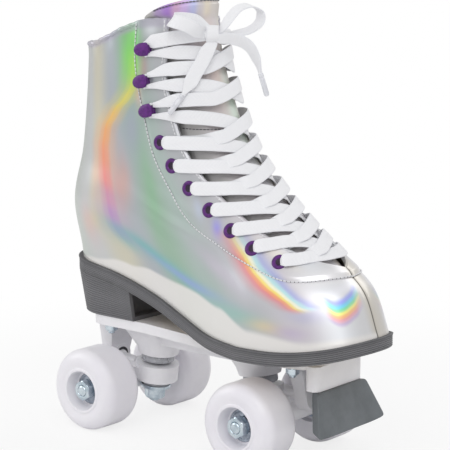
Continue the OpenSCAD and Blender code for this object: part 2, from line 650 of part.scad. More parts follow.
// Frames on a truck: at its axle, along its kingpin and along its steering axis
module at_axle(e) {
    translate([chassis_x + e * wheelbase / 2, 0, axle_z]) mirror([e == front ? 1 : 0, 0, 0]) children();
}
module at_kingpin() { translate([ring_x, 0, ring_dz]) rotate([0, steer_tilt, 0]) children(); }
module at_pivot() { translate([-pivot_x, 0, pivot_dz]) rotate([0, steer_tilt - 90, 0]) children(); }
module outward(s) { rotate([s == right ? 90 : -90, 0, 0]) children(); }
module hex(af, h) { cylinder(h = h, d = af / cos(30), $fn = 6); }

// Plate
module deck() {
    tops = concat([[plate_back, heel_seat_h], [heel_seat_front, heel_seat_h]],
        [for (i = [0:6]) let (x = mix(sole_seat_back, plate_front, i / 6)) [x, rise(x) - seat_fit]]);
    soles = [for (i = [len(tops) - 1:-1:0]) [tops[i][0], tops[i][1] - deck_t]];
    translate([0, 0, deck_z]) rotate([90, 0, 0]) linear_extrude(height = plate_w, center = true)
        polygon(concat(tops, soles));
}
module rounded_plan(x0, x1, w, r) {
    translate([x0 + r, -w / 2]) square([x1 - x0 - 2 * r, w]);
    translate([x0, -w / 2 + r]) square([x1 - x0, w - 2 * r]);
    for (x = [x0 + r, x1 - r]) for (y = [-1, 1]) translate([x, y * (w / 2 - r)]) circle(r);
}
beam_w = 24;
beam_depth = 13;
beam_inset = 7;
lug_w = 16;
lug_t = 9;
// Height that the deck's seat at an end has over the sole's underside at the ball
function seat_at(e) = e == rear ? heel_seat_h : 0;
module beam() {
    x0 = rear_boss_x + beam_inset;
    x1 = front_boss_x - beam_inset;
    translate([0, 0, deck_z]) rotate([90, 0, 0]) linear_extrude(height = beam_w, center = true)
        polygon([[x0, -beam_depth], [x1, -beam_depth], [x1, -deck_t / 2],
            [heel_seat_front, heel_seat_h - deck_t / 2], [x0, heel_seat_h - deck_t / 2]]);
}
saddle_w = 40;
saddle_len = 30;
saddle_root = 2;
lug_root_w = mount_bolt_gap - mount_nut_af / cos(30) - 3;
module saddle(e) {
    under = ride_h + seat_at(e) - deck_t + 1;
    hull() {
        at_kingpin() translate([0, 0, boss_z + 2]) cylinder(h = 1, d = boss_d - 1, $fn = 24);
        translate([ring_x - saddle_len / 2, -saddle_w / 2, under]) cube([saddle_len, saddle_w, saddle_root]);
    }
    hull() {
        at_pivot() translate([0, 0, 1]) cylinder(h = housing_len - 3, d = housing_d - 1, $fn = 24);
        translate([-pivot_x - lug_t, -lug_root_w / 2, under]) cube([lug_t * 1.5, lug_root_w, saddle_root]);
    }
}
module plate_body() {
    intersection() {
        deck();
        linear_extrude(height = deck_z * 2) rounded_plan(plate_back, plate_front, plate_w, plate_corner);
    }
    beam();
    translate([0, 0, deck_z - nose_depth]) linear_extrude(height = nose_depth - 2)
        rounded_plan(plate_front - nose_t, plate_front, plate_w, nose_corner);
    for (e = [rear, front]) at_axle(e) {
        at_kingpin() translate([0, 0, boss_z])
            cylinder(h = boss_h + seat_at(e), d1 = boss_d, d2 = boss_d + boss_flare);
        at_pivot() translate([0, 0, -0.5]) cylinder(h = housing_len, d = housing_d);
        translate([-pivot_x - lug_t - 0.5, -lug_w / 2, pivot_dz])
            cube([lug_t, lug_w, ride_h - pivot_dz + seat_at(e) - deck_t / 2]);
        saddle(e);
    }
}
module plate() {
    color(foam_white) difference() {
        plate_body();
        for (e = [rear, front]) at_axle(e) {
            at_kingpin() cylinder(h = kingpin_top + seat_fit, d = kingpin_d + 2 * seat_fit);
            at_pivot() translate([0, 0, -1]) cylinder(h = cup_len + 1, d = cup_d + 2 * seat_fit);
        }
        bolt_holes(mount_bolt_d + 2 * seat_fit);
        stop_bolt_axis() translate([0, 0, -1])
            cylinder(h = stop_bolt_in_nose + 1, d = stop_bolt_d + 2 * seat_fit);
    }
}

// Mounting bolts: domed heads on the insole, nuts under the deck
function deck_under(x) = (x < 0 ? heel_seat_h : rise(x - mount_nut_af) - seat_fit) - deck_t;
module at_bolts() {
    for (x = [rear_bolt_x, front_bolt_x]) for (y = [-1, 1])
        translate([x, y * mount_bolt_gap / 2, deck_z]) { $bolt_x = x; children(); }
}
bolt_head_r = 4.5;
function bolt_head_z(x) =
    max(sole_top(x - bolt_head_r), sole_top(x + bolt_head_r)) + insole_t + soft_gap + seat_fit;
bolt_tail = 2;
module mounting_bolts() {
    color(zinc) at_bolts() {
        foot = deck_under($bolt_x) - mount_nut_h - bolt_tail;
        translate([0, 0, foot]) cylinder(h = bolt_head_z($bolt_x) - foot, d = mount_bolt_d);
        translate([0, 0, bolt_head_z($bolt_x)])
            cylinder(h = bolt_head_h, r1 = bolt_head_r, r2 = bolt_head_r * 0.6);
    }
}
module mounting_nuts() {
    color(zinc) at_bolts() translate([0, 0, deck_under($bolt_x) - mount_nut_h - seat_fit])
        difference() {
            hex(mount_nut_af, mount_nut_h);
            translate([0, 0, -1]) cylinder(h = mount_nut_h + 2, d = mount_bolt_d + 2 * run_fit);
        }
}

// Toe stop: a leaning block, narrower at its back, on a bolt along its own lean
module stop_bolt_axis() {
    translate([stop_x - stop_t / 2, 0, deck_z - nose_depth]) rotate([0, -stop_lean_deg, 0]) children();
}
module stop_corner(x, y, z) { translate([x, y, z]) sphere(r = stop_round, $fn = 24); }
module toe_stop() {
    top = deck_z - nose_depth - seat_fit - stop_round;
    foot = deck_z - nose_depth - stop_h + stop_round;
    color(grey) difference() {
        hull() for (y = [-1, 1]) {
            stop_corner(stop_x - stop_round, y * (stop_w_top / 2 - stop_round), top);
            stop_corner(stop_x - stop_t + stop_round, y * (stop_w_top / 2 - stop_taper), top);
            stop_corner(stop_x + stop_lean - stop_round, y * (stop_w_foot / 2 - stop_round), foot);
            stop_corner(stop_x + stop_lean - stop_t + stop_round, y * (stop_w_foot / 2 - stop_taper), foot);
        }
        stop_bolt_axis() {
            translate([0, 0, -stop_h]) cylinder(h = 2 * stop_h, d = stop_bolt_d + 2 * seat_fit);
            translate([0, 0, -2 * stop_h])
                cylinder(h = 2 * stop_h - stop_bolt_grip, d = stop_bolt_d * stop_head_ratio + 2 * seat_fit);
        }
    }
}
module toe_stop_bolt() {
    head = stop_bolt_d;
    color(zinc) stop_bolt_axis() {
        translate([0, 0, -stop_bolt_grip - seat_fit])
            cylinder(h = stop_bolt_grip + stop_bolt_in_nose, d = stop_bolt_d);
        translate([0, 0, -stop_bolt_grip - seat_fit - head])
            cylinder(h = head, d = stop_bolt_d * stop_head_ratio);
    }
}

// Trucks: what stays with the plate
module kingpin(e) {
    color(zinc) at_axle(e) at_kingpin() translate([0, 0, kingpin_foot])
        cylinder(h = kingpin_top - kingpin_foot, d = kingpin_d);
}
module kingpin_front() { kingpin(front); }
module kingpin_rear() { kingpin(rear); }
module kingpin_nuts() {
    color(zinc) for (e = [rear, front]) at_axle(e) at_kingpin()
        translate([0, 0, washer_z - cup_washer_t - kingpin_nut_h]) difference() {
            hex(kingpin_nut_af, kingpin_nut_h);
            translate([0, 0, -1]) cylinder(h = kingpin_nut_h + 2, d = kingpin_d + 2 * run_fit);
        }
}
module cup_washers() {
    r = lower_cushion_d / 2 + 0.4;
    color(zinc) for (e = [rear, front]) at_axle(e) at_kingpin() translate([0, 0, washer_z - cup_washer_t])
        rotate_extrude() polygon([[kingpin_d / 2 + run_fit, 0], [r, 0], [r + 0.9, 0.6],
            [r + 0.9, cup_washer_t + cup_rim_h],
            [r, cup_washer_t + cup_rim_h], [r, cup_washer_t], [kingpin_d / 2 + run_fit, cup_washer_t]]);
}
// A cushion's face to the ring is coned, so the ring can lean on it to either side
module upper_cushion(e) {
    r = upper_cushion_d / 2;
    low = ring_h / 2 + soft_gap;
    in = kingpin_d / 2 + seat_fit;
    color("lavender") at_axle(e) at_kingpin() rotate_extrude()
        polygon([[in, low + in * relief], [r - 1.5, low + (r - 1.5) * relief], [r, low + r * relief + 0.8],
            [r, boss_z - 1.2], [r - 1.2, boss_z], [in, boss_z]]);
}
module upper_cushion_front() { upper_cushion(front); }
module upper_cushion_rear() { upper_cushion(rear); }
module lower_cushion(e) {
    r = lower_cushion_d / 2;
    in = kingpin_d / 2 + seat_fit;
    color("lavender") at_axle(e) at_kingpin() rotate_extrude()
        polygon([[in, washer_z], [r - 0.6, washer_z], [r, washer_z + 0.6],
            [r, -ring_h / 2 - soft_gap - r * relief], [in, -ring_h / 2 - soft_gap - in * relief]]);
}
module lower_cushion_front() { lower_cushion(front); }
module lower_cushion_rear() { lower_cushion(rear); }
module pivot_cup(e) {
    color(grey) at_axle(e) at_pivot() difference() {
        translate([0, 0, -0.5]) cylinder(h = cup_len - 0.1 + 0.5, d = cup_d);
        sphere(d = pivot_ball_d + 2 * seat_fit);
    }
}
module pivot_cup_front() { pivot_cup(front); }
module pivot_cup_rear() { pivot_cup(rear); }

// Trucks: what leans with the hanger
web_h = 8;
arm_d = 7.6;
module hanger(e) {
    color(foam_white) at_axle(e) difference() {
        union() {
            rotate([90, 0, 0]) cylinder(h = 2 * tube_half, d = tube_d, center = true);
            at_kingpin() translate([0, 0, -ring_h / 2]) cylinder(h = ring_h, d = ring_d);
            translate([0, 0, ring_dz - web_h / 2]) linear_extrude(height = web_h)
                polygon([[-tube_d / 3, -tube_half + 2], [-tube_d / 3, tube_half - 2],
                    [ring_x, ring_d / 2 - 1], [ring_x, 1 - ring_d / 2]]);
            at_pivot() {
                sphere(d = pivot_ball_d);
                translate([0, 0, -pivot_x - 2]) cylinder(h = pivot_x + 2, d = arm_d);
            }
        }
        rotate([90, 0, 0]) cylinder(h = track, d = axle_d + 2 * run_fit, center = true);
        at_kingpin() cylinder(h = 3 * ring_h, r = ring_bore_r, center = true);
    }
}
module hanger_front() { hanger(front); }
module hanger_rear() { hanger(rear); }
module axle(e) {
    color(zinc) at_axle(e) rotate([90, 0, 0]) cylinder(h = 2 * axle_half, d = axle_d, center = true);
}
module axle_front() { axle(front); }
module axle_rear() { axle(rear); }
// Ring on both ends of an axle, from y0 to y1
module axle_rings(e, y0, y1, d) {
    at_axle(e) for (s = [right, left]) outward(s) translate([0, 0, y0]) difference() {
        cylinder(h = y1 - y0, d = d);
        translate([0, 0, -1]) cylinder(h = y1 - y0 + 2, d = axle_d + 2 * run_fit);
    }
}
module axle_nuts(e) {
    color(zinc) at_axle(e) for (s = [right, left]) outward(s)
        translate([0, 0, outer_bearing_y + axle_washer_t]) difference() {
            hex(axle_nut_af, axle_nut_h);
            translate([0, 0, -1]) cylinder(h = axle_nut_h + 2, d = axle_d + 2 * run_fit);
        }
}
module axle_nuts_front() { axle_nuts(front); }
module axle_nuts_rear() { axle_nuts(rear); }
spacer_d = race_d - 0.5;
washer_y = outer_bearing_y + axle_washer_t;
module axle_washers_front() { color(zinc) axle_rings(front, outer_bearing_y, washer_y, spacer_d); }
module axle_washers_rear() { color(zinc) axle_rings(rear, outer_bearing_y, washer_y, spacer_d); }
module axle_spacers_front() { color(zinc) axle_rings(front, tube_half, inner_bearing_y, spacer_d); }
module axle_spacers_rear() { color(zinc) axle_rings(rear, tube_half, inner_bearing_y, spacer_d); }
module inner_races(e) {
    color(zinc) {
        axle_rings(e, inner_bearing_y, inner_bearing_y + bearing_w, race_d);
        axle_rings(e, outer_bearing_y - bearing_w, outer_bearing_y, race_d);
    }
}
module inner_races_front() { inner_races(front); }
module inner_races_rear() { inner_races(rear); }

// Wheels: the profile runs from the outer face over the tread to the inner face and back through the hub
module on_axle(e, s) {
    translate([chassis_x + e * wheelbase / 2, s * wheel_y, axle_z]) outward(s) children();
}
shoulder_steps = 8;
hub_web = 2;
recess_step = 1;
module wheel(e, s) {
    h = wheel_w / 2;
    c = wheel_shoulder_r;
    r = wheel_d / 2 - c;
    seat = bearing_d / 2 + run_fit / 2;
    bottom = bearing_d / 2 + recess_step;
    shoulder = [for (i = [0:shoulder_steps])
        let (q = 90 * i / shoulder_steps) [r + c * sin(q), h - c + c * cos(q)]];
    tread = concat(shoulder, [for (i = [shoulder_steps:-1:0]) [shoulder[i][0], -shoulder[i][1]]]);
    web = bearing_d / 2 - hub_web;
    in = inner_recess - h;
    out = h - outer_recess;
    hub = [[bottom + 1, -h], [bottom, in], [seat, in], [seat, in + bearing_w], [web, in + bearing_w],
        [web, out - bearing_w], [seat, out - bearing_w], [seat, out], [bottom, out], [wheel_recess_d / 2, h]];
    color(foam_white) on_axle(e, s) rotate_extrude() polygon(concat(tread, hub));
}
module wheel_front_right() { wheel(front, right); }
module wheel_front_left() { wheel(front, left); }
module wheel_rear_right() { wheel(rear, right); }
module wheel_rear_left() { wheel(rear, left); }
shield_inset = 0.5;
ring_wall = 1.8;
module bearings(e, s) {
    h = wheel_w / 2;
    r = bearing_d / 2;
    in = race_d / 2 + run_fit;
    top = bearing_w - shield_inset;
    color(zinc) on_axle(e, s) for (z = [inner_recess - h, h - outer_recess - bearing_w]) translate([0, 0, z])
        rotate_extrude() polygon([[in, shield_inset], [r - ring_wall, shield_inset], [r - ring_wall, 0], [r, 0],
            [r, bearing_w], [r - ring_wall, bearing_w], [r - ring_wall, top], [in, top]]);
}
module bearings_front_right() { bearings(front, right); }
module bearings_front_left() { bearings(front, left); }
module bearings_rear_right() { bearings(rear, right); }
module bearings_rear_left() { bearings(rear, left); }

upper_right();
upper_left();
eyestay_right();
eyestay_left();
backstay();
quarter_lining();
tongue();
insole();
outsole();
heel_block();
eyelets_right();
eyelets_left();
hooks_right();
hooks_left();
lacing();
lace_knot();
lace_loop_right();
lace_loop_left();
lace_tail_right();
lace_tail_left();
aglet_right();
aglet_left();
plate();
mounting_bolts();
mounting_nuts();
toe_stop();
toe_stop_bolt();
kingpin_front();
kingpin_rear();
kingpin_nuts();
cup_washers();
upper_cushion_front();
upper_cushion_rear();
lower_cushion_front();
lower_cushion_rear();
pivot_cup_front();
pivot_cup_rear();
hanger_front();
hanger_rear();
axle_front();
axle_rear();
axle_nuts_front();
axle_nuts_rear();
axle_washers_front();
axle_washers_rear();
axle_spacers_front();
axle_spacers_rear();
inner_races_front();
inner_races_rear();
wheel_front_right();
wheel_front_left();
wheel_rear_right();
wheel_rear_left();
bearings_front_right();
bearings_front_left();
bearings_rear_right();
bearings_rear_left();
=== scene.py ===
import math
import bmesh
import bpy
import numpy as np
from mathutils import Matrix, Vector


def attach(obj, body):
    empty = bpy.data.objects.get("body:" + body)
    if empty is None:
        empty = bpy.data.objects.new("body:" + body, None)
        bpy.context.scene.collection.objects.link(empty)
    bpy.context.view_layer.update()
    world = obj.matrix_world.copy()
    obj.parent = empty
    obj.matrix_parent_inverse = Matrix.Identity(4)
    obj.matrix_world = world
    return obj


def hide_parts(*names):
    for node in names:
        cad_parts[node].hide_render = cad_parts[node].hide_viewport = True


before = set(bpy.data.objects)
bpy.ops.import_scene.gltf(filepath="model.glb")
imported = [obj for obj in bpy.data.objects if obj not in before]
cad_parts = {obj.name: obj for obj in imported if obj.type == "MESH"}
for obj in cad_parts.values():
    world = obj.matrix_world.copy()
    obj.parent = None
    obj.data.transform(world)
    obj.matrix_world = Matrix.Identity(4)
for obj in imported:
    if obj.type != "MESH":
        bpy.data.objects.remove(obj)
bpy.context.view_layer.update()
scene = bpy.context.scene
mm = 0.001
right, left = -1, 1
rear, front = -1, 1
ends = ((front, "front"), (rear, "rear"))
sides = ((right, "right", "Right"), (left, "left", "Left"))


# plain curve maths
def mix(a, b, t):
    return a + (b - a) * t


def ease(t):  # smooth step from 0 to 1
    t = np.clip(t, 0, 1)
    return t * t * (3 - 2 * t)


def climb(t, start, run):  # smooth step up over a run
    return ease((t - start) / run)


def bell(d, width):
    return np.exp(-((d / width) ** 2))


def unit(v):
    return v / np.maximum(np.linalg.norm(v, axis=-1, keepdims=True), 1e-12)


def through(knots, t):  # even Catmull-Rom curve through the knots, t from 0 to 1
    k = np.asarray(knots, float)
    k = np.vstack([2 * k[:1] - k[1:2], k, 2 * k[-1:] - k[-2:-1]])
    n = len(k) - 3
    s = np.clip(t, 0, 1) * n
    i = np.minimum(s.astype(int), n - 1)
    u = (s - i)[..., None]
    a, b, c, d = k[i], k[i + 1], k[i + 2], k[i + 3]
    return 0.5 * (2 * b + (c - a) * u + (2 * a - 5 * b + 4 * c - d) * u**2 + (3 * b - a - 3 * c + d) * u**3)


def tableAt(rows, x):  # Hermite curve through [x, value] rows with central slopes
    k = np.asarray(rows, float)
    n = len(k)
    lo, hi = np.maximum(np.arange(n) - 1, 0), np.minimum(np.arange(n) + 1, n - 1)
    slope = (k[hi, 1] - k[lo, 1]) / (k[hi, 0] - k[lo, 0])
    i = np.clip(np.searchsorted(k[:, 0], x, "right") - 1, 0, n - 2)
    w = k[i + 1, 0] - k[i, 0]
    u = np.clip((x - k[i, 0]) / w, 0, 1)
    a, b, p, q = k[i, 1], k[i + 1, 1], slope[i] * w, slope[i + 1] * w
    return a + u * p + u * u * (3 * (b - a) - 2 * p - q) + u**3 * (2 * (a - b) + p + q)


def arcLength(points):  # running length along the first axis
    step = np.linalg.norm(np.diff(points, axis=0), axis=-1)
    return np.concatenate([[0], np.cumsum(step)])


# camera, matched to the photograph
shot = {"azimuth": 39.93, "elevation": 9.65, "distance": 1084.4, "lens": 126.88, "sensor": 36, "far": 50,
        "target": (-2.45, 0, 149.64)}


def setCamera():
    az, el = math.radians(shot["azimuth"]), math.radians(shot["elevation"])
    back = Vector((math.sin(az) * math.cos(el), -math.cos(az) * math.cos(el), math.sin(el)))
    side = Vector((math.cos(az), math.sin(az), 0))
    up = back.cross(side)
    cam = bpy.data.cameras.new("camera")
    cam.lens, cam.sensor_width, cam.clip_end = shot["lens"], shot["sensor"], shot["far"]
    obj = bpy.data.objects.new("camera", cam)
    turn = Matrix((side, up, back)).transposed().to_4x4()
    obj.matrix_world = Matrix.Translation((Vector(shot["target"]) + back * shot["distance"]) * mm) @ turn
    scene.collection.objects.link(obj)
    scene.camera = obj


setCamera()
print("camera set")


# shader maths: a socket with operators, and one method for every other node
class Wire:
    def __init__(self, tree, socket=None):
        self.tree, self.socket = tree, socket

    def make(self, kind, settings=None, sockets=None, out=0):
        node = self.tree.nodes.new(kind)
        for key, value in (settings or {}).items():
            if key == "stops":
                ramp = node.color_ramp
                while len(ramp.elements) < len(value):
                    ramp.elements.new(0.5)
                for element, (place, colour) in zip(ramp.elements, value):
                    element.position = place
                    element.color = (*colour, 1) if np.ndim(colour) else (colour, colour, colour, 1)
            elif key == "blending":
                node.color_ramp.interpolation = value
            else:
                setattr(node, key, value)
        for key, value in (sockets or {}).items():
            self.feed(node.inputs[key], value)
        return Wire(self.tree, node.outputs[out])

    def feed(self, socket, value):
        if isinstance(value, Wire):
            self.tree.links.new(value.socket, socket)
        else:
            socket.default_value = value

    def calc(self, operation, first, second=0.0):
        return self.make("ShaderNodeMath", {"operation": operation}, {0: first, 1: second})

    def __add__(self, other):
        return self.calc("ADD", self, other)

    def __radd__(self, other):
        return self.calc("ADD", other, self)

    def __sub__(self, other):
        return self.calc("SUBTRACT", self, other)

    def __rsub__(self, other):
        return self.calc("SUBTRACT", other, self)

    def __mul__(self, other):
        return self.calc("MULTIPLY", self, other)

    def __rmul__(self, other):
        return self.calc("MULTIPLY", other, self)

    def __truediv__(self, other):
        return self.calc("DIVIDE", self, other)

    def sine(self):
        return self.calc("SINE", self)

    def exp(self):
        return self.calc("EXPONENT", self)

    def abs(self):
        return self.calc("ABSOLUTE", self)

    def ramp(self, stops, blending="LINEAR"):
        return self.make("ShaderNodeValToRGB", {"stops": stops, "blending": blending}, {0: self})

    def over(self, low, high, a=0.0, b=1.0):  # smooth step between two values
        return self.make("ShaderNodeMapRange", {"interpolation_type": "SMOOTHSTEP"},
                         {0: self, 1: low, 2: high, 3: a, 4: b})

    def tint(self, colour, weight):  # this colour with another laid over it
        if isinstance(colour, tuple):
            colour = (*paint(*colour), 1)
        return self.make("ShaderNodeMix", {"data_type": "RGBA", "clamp_factor": True},
                         {0: weight, 6: self, 7: colour}, 2)


def paint(r, g, b):  # a screen colour as linear light
    c = np.array([r, g, b]) / 255
    return tuple(float(v) for v in np.where(c <= 0.04045, c / 12.92, ((c + 0.055) / 1.055) ** 2.4))


def startFinish(name):
    mat = bpy.data.materials.new(name)
    mat.use_nodes = True
    tree = mat.node_tree
    shader = tree.nodes["Principled BSDF"]
    wire = Wire(tree)
    spot = wire.make("ShaderNodeTexCoord", out=3)
    uv = wire.make("ShaderNodeUVMap", {"uv_map": "skin"})
    u = wire.make("ShaderNodeSeparateXYZ", sockets={0: uv})
    v = Wire(tree, u.socket.node.outputs[1])
    return mat, shader, wire, spot, u, v


def setShader(wire, shader, **values):
    for key, value in values.items():
        wire.feed(shader.inputs[key.replace("_", " ")], value)


def grain(wire, spot, scale, detail=3.0, rough=0.55, stretch=None):
    place = spot
    if stretch:
        place = wire.make("ShaderNodeMapping", sockets={"Vector": spot, "Scale": stretch})
    return wire.make("ShaderNodeTexNoise", sockets={"Vector": place, "Scale": scale, "Detail": detail,
                                                    "Roughness": rough})


def bump(wire, height, strength, distance):
    return wire.make("ShaderNodeBump", sockets={"Strength": strength, "Distance": distance, "Height": height})


def hueStops(rows):  # ramp stops from rows of a place and a screen colour
    return [(place, paint(*colour)) for place, colour in rows]


# soft oval patch on the foil: exp of minus the squared distance in turned axes
def patch(u, v, al, b, turn, reachA, reachB):
    c, s = math.cos(math.radians(turn)), math.sin(math.radians(turn))
    x, y = u - al, v - b
    p = (x * c + y * s) / reachA
    q = (y * c - x * s) / reachB
    return ((p * p + q * q) * -1).exp()


foil = {
    "silver": [(0, (186, 195, 184)), (0.12, (196, 204, 196)), (0.26, (204, 206, 206)), (0.33, (210, 206, 188)),
               (0.42, (178, 184, 190)), (0.5, (158, 186, 166)), (0.57, (174, 190, 184)), (0.66, (188, 190, 194)),
               (0.78, (210, 206, 210)), (0.88, (228, 230, 234)), (0.96, (214, 214, 216)), (1, (204, 199, 190))],
    # streaks of colour: places of the middle along its run, fade along the run, then hues and cover across it
    "quarter": {
        "path": [(0.1, 0.37), (0.215, 0.352), (0.39, 0.35), (0.516, 0.342), (0.604, 0.353), (0.688, 0.387),
                 (0.755, 0.447), (0.8, 0.503), (0.86, 0.53), (0.93, 0.54)], "width": 0.2,
        "fade": [(0.1, 0.0), (0.2, 0.8), (0.3, 0.95), (0.85, 0.95), (0.95, 0.9), (1, 0.5)],
        "cover": [(0.1, 0.0), (0.32, 0.3), (0.44, 0.7), (0.5, 1.0), (0.58, 0.85), (0.68, 0.3), (0.85, 0.0)],
        "hues": [(0.14, (132, 186, 184)), (0.22, (150, 170, 196)), (0.29, (190, 152, 200)), (0.36, (214, 156, 186)),
                 (0.45, (238, 150, 146)), (0.54, (244, 158, 128)), (0.64, (244, 174, 116)), (0.71, (242, 196, 112)),
                 (0.78, (226, 216, 112)), (0.86, (170, 226, 104)), (0.95, (140, 214, 122))]},
    "vamp": {
        "path": [(0.1, 0.8), (0.112, 0.782), (0.136, 0.758), (0.169, 0.737), (0.22, 0.728), (0.285, 0.722),
                 (0.33, 0.716)], "width": 0.16,
        "fade": [(0.095, 0.0), (0.115, 0.85), (0.15, 1.0), (0.26, 0.9), (0.34, 0.45), (0.38, 0.0)],
        "cover": [(0.1, 0.0), (0.26, 0.55), (0.42, 0.95), (0.55, 1.0), (0.68, 0.8), (0.8, 0.6), (0.95, 0.0)],
        "hues": [(0.2, (206, 170, 176)), (0.36, (232, 140, 146)), (0.44, (250, 168, 122)), (0.5, (255, 232, 130)),
                 (0.56, (254, 252, 222)), (0.64, (190, 236, 242)), (0.74, (168, 178, 234)), (0.88, (206, 202, 222))]},
    "toe": {
        "path": [(0.85, 0.104), (0.868, 0.09), (0.886, 0.081), (0.92, 0.088), (0.95, 0.102), (0.975, 0.118)],
        "width": 0.1, "fade": [(0.845, 0.0), (0.87, 0.9), (0.9, 1.0), (0.94, 0.85), (0.965, 0.4), (0.98, 0.0)],
        "cover": [(0.12, 0.0), (0.26, 0.55), (0.4, 0.9), (0.66, 0.95), (0.76, 0.8), (0.92, 0.0)],
        "hues": [(0.22, (184, 138, 204)), (0.32, (238, 144, 164)), (0.42, (250, 190, 122)), (0.5, (250, 240, 128)),
                 (0.58, (136, 228, 168)), (0.66, (118, 212, 238)), (0.78, (136, 150, 246))]},
    "band": [(0.14, 0.01), (0.22, 0.026), (0.33, 0.066), (0.41, 0.094), (0.52, 0.118), (0.58, 0.096), (0.65, 0.05),
             (0.8, 0.022), (1, 0.014)],
    # al, b, turn, reach along, reach across, colour, strength
    "patches": [
        (0.525, 0.905, 80, 0.085, 0.042, (128, 224, 98), 0.85),
        (0.557, 0.9, 80, 0.06, 0.013, (112, 204, 140), 0.8),
        (0.44, 0.185, -30, 0.13, 0.036, (126, 186, 186), 0.85),
        (0.51, 0.145, -16, 0.08, 0.02, (152, 172, 222), 0.75),
        (0.5, 0.45, 84, 0.16, 0.018, (148, 190, 156), 0.7),
        (0.49, 0.68, 78, 0.11, 0.035, (172, 172, 196), 0.65),
        (0.3, 0.42, 86, 0.18, 0.018, (218, 210, 180), 0.6),
        (0.27, 0.22, 60, 0.07, 0.03, (216, 206, 172), 0.7),
        (0.62, 0.24, -62, 0.1, 0.034, (200, 192, 206), 0.65),
        (0.63, 0.085, -14, 0.06, 0.024, (150, 194, 186), 0.7),
        (0.694, 0.062, -8, 0.04, 0.018, (224, 206, 164), 0.7),
        (0.755, 0.05, -4, 0.045, 0.018, (196, 180, 208), 0.65),
        (0.8, 0.09, -10, 0.05, 0.02, (186, 184, 214), 0.6),
        (0.682, 0.372, 70, 0.035, 0.014, (164, 158, 232), 0.85),
        (0.645, 0.43, 75, 0.04, 0.014, (196, 206, 226), 0.6),
        (0.81, 0.275, -60, 0.06, 0.02, (232, 226, 214), 0.7),
        # painted highlights: the two near-white patches on the toe
        (0.9, 0.185, 0, 0.09, 0.025, (246, 244, 246), 0.8),
        (0.93, 0.145, 10, 0.05, 0.016, (240, 240, 246), 0.8),
        (0.591, 0.864, 80, 0.05, 0.02, (190, 164, 164), 0.8),
        (0.25, 0.2, 84, 0.1, 0.03, (224, 194, 194), 0.6),
        (0.41, 0.46, 84, 0.11, 0.026, (214, 170, 160), 0.7),
        (0.546, 0.795, 80, 0.04, 0.018, (220, 188, 176), 0.8),
        (0.64, 0.972, 10, 0.03, 0.02, (228, 232, 236), 0.8),
    ],
}


def foilFinish(name, far):
    mat, shader, wire, spot, u, v = startFinish(name)
    wob = grain(wire, spot, 18, 2) - 0.5
    al, b = u + wob * 0.04, v + wob * 0.025
    colour = al.ramp(hueStops(foil["silver"]), "EASE")
    for *oval, hue, strength in foil["patches"]:
        colour = colour.tint(hue, patch(al, b, *oval) * strength)
    for key, run, across in (("quarter", b, al), ("vamp", b, al), ("toe", al, b)):
        spec = foil[key]
        x = (across - run.ramp(spec["path"], "CARDINAL")) / spec["width"] + 0.5
        cover = x.ramp(spec["cover"], "EASE") * run.ramp(spec["fade"], "EASE")
        hue = (b if key == "quarter" else x).ramp(hueStops(spec["hues"]), "EASE")
        # painted shade on the far copy: its toe streak is cut to a trace
        colour = colour.tint(hue, cover * (0.15 if far and key == "toe" else 1.0))
    edge = al.ramp(foil["band"], "EASE") - v  # the pale ground seen in the foil above the sole
    colour = colour.tint((236, 233, 230), edge.over(-0.006, 0.012, 0, 0.9))
    # painted shade on the far copy: the foil turns grey-beige towards the instep edge
    if far:
        colour = colour.tint((206, 201, 192), u.over(0.9, 0.97, 0, 0.8))
    colour = colour.tint((178, 172, 190), v.over(0.968, 0.985, 0, 0.6))
    toeSeam, backSeam = (u - 1).abs().over(0.0, 0.005, 0.85, 0), u.abs().over(0.0, 0.012, 0.75, 0)
    colour = colour.tint((70, 68, 62), toeSeam).tint((84, 86, 72), backSeam)
    wave = grain(wire, spot, 30, 0)
    setShader(wire, shader, Base_Color=colour, Metallic=0.5, Roughness=wave * 0.1 + 0.27, Coat_Weight=0.2,
              Coat_Roughness=0.25)
    return mat


tongueFoil = {
    # painted shade: the silver darkens towards both sides, where the tongue runs under the facings
    "silver": [(0, (166, 166, 166)), (0.12, (198, 196, 195)), (0.3, (214, 208, 210)), (0.5, (224, 222, 226)),
               (0.66, (230, 224, 216)), (0.8, (208, 204, 200)), (1, (160, 157, 154))],
    # the part that shows above the bow
    "top": [(0.04, (190, 188, 186)), (0.1, (182, 156, 204)), (0.15, (176, 130, 214)), (0.2, (212, 172, 206)),
            (0.25, (216, 188, 236)), (0.31, (196, 200, 238)), (0.36, (214, 208, 212)), (0.42, (232, 222, 204)),
            (0.5, (220, 214, 208)), (0.7, (190, 184, 178))],
    "patches": [(0.45, 0.72, 70, 0.12, 0.1, (240, 214, 204), 0.7), (0.55, 0.62, 80, 0.1, 0.1, (206, 226, 208), 0.7)],
}


def tongueFinish():
    mat, shader, wire, spot, u, v = startFinish("tongueFoil")
    wob = grain(wire, spot, 22, 2) - 0.5
    x = u + wob * 0.06
    colour = x.ramp(hueStops(tongueFoil["silver"]), "EASE")
    colour = colour.tint(x.ramp(hueStops(tongueFoil["top"]), "EASE"), v.over(0.8, 0.9) * 0.95)
    for *oval, hue, strength in tongueFoil["patches"]:
        colour = colour.tint(hue, patch(x, v, *oval) * strength)
    fine = grain(wire, spot, 70, 4, 0.6)
    setShader(wire, shader, Base_Color=colour, Metallic=0.1, Roughness=fine * 0.15 + 0.26,
              Normal=bump(wire, fine, 0.2, 0.002))
    return mat


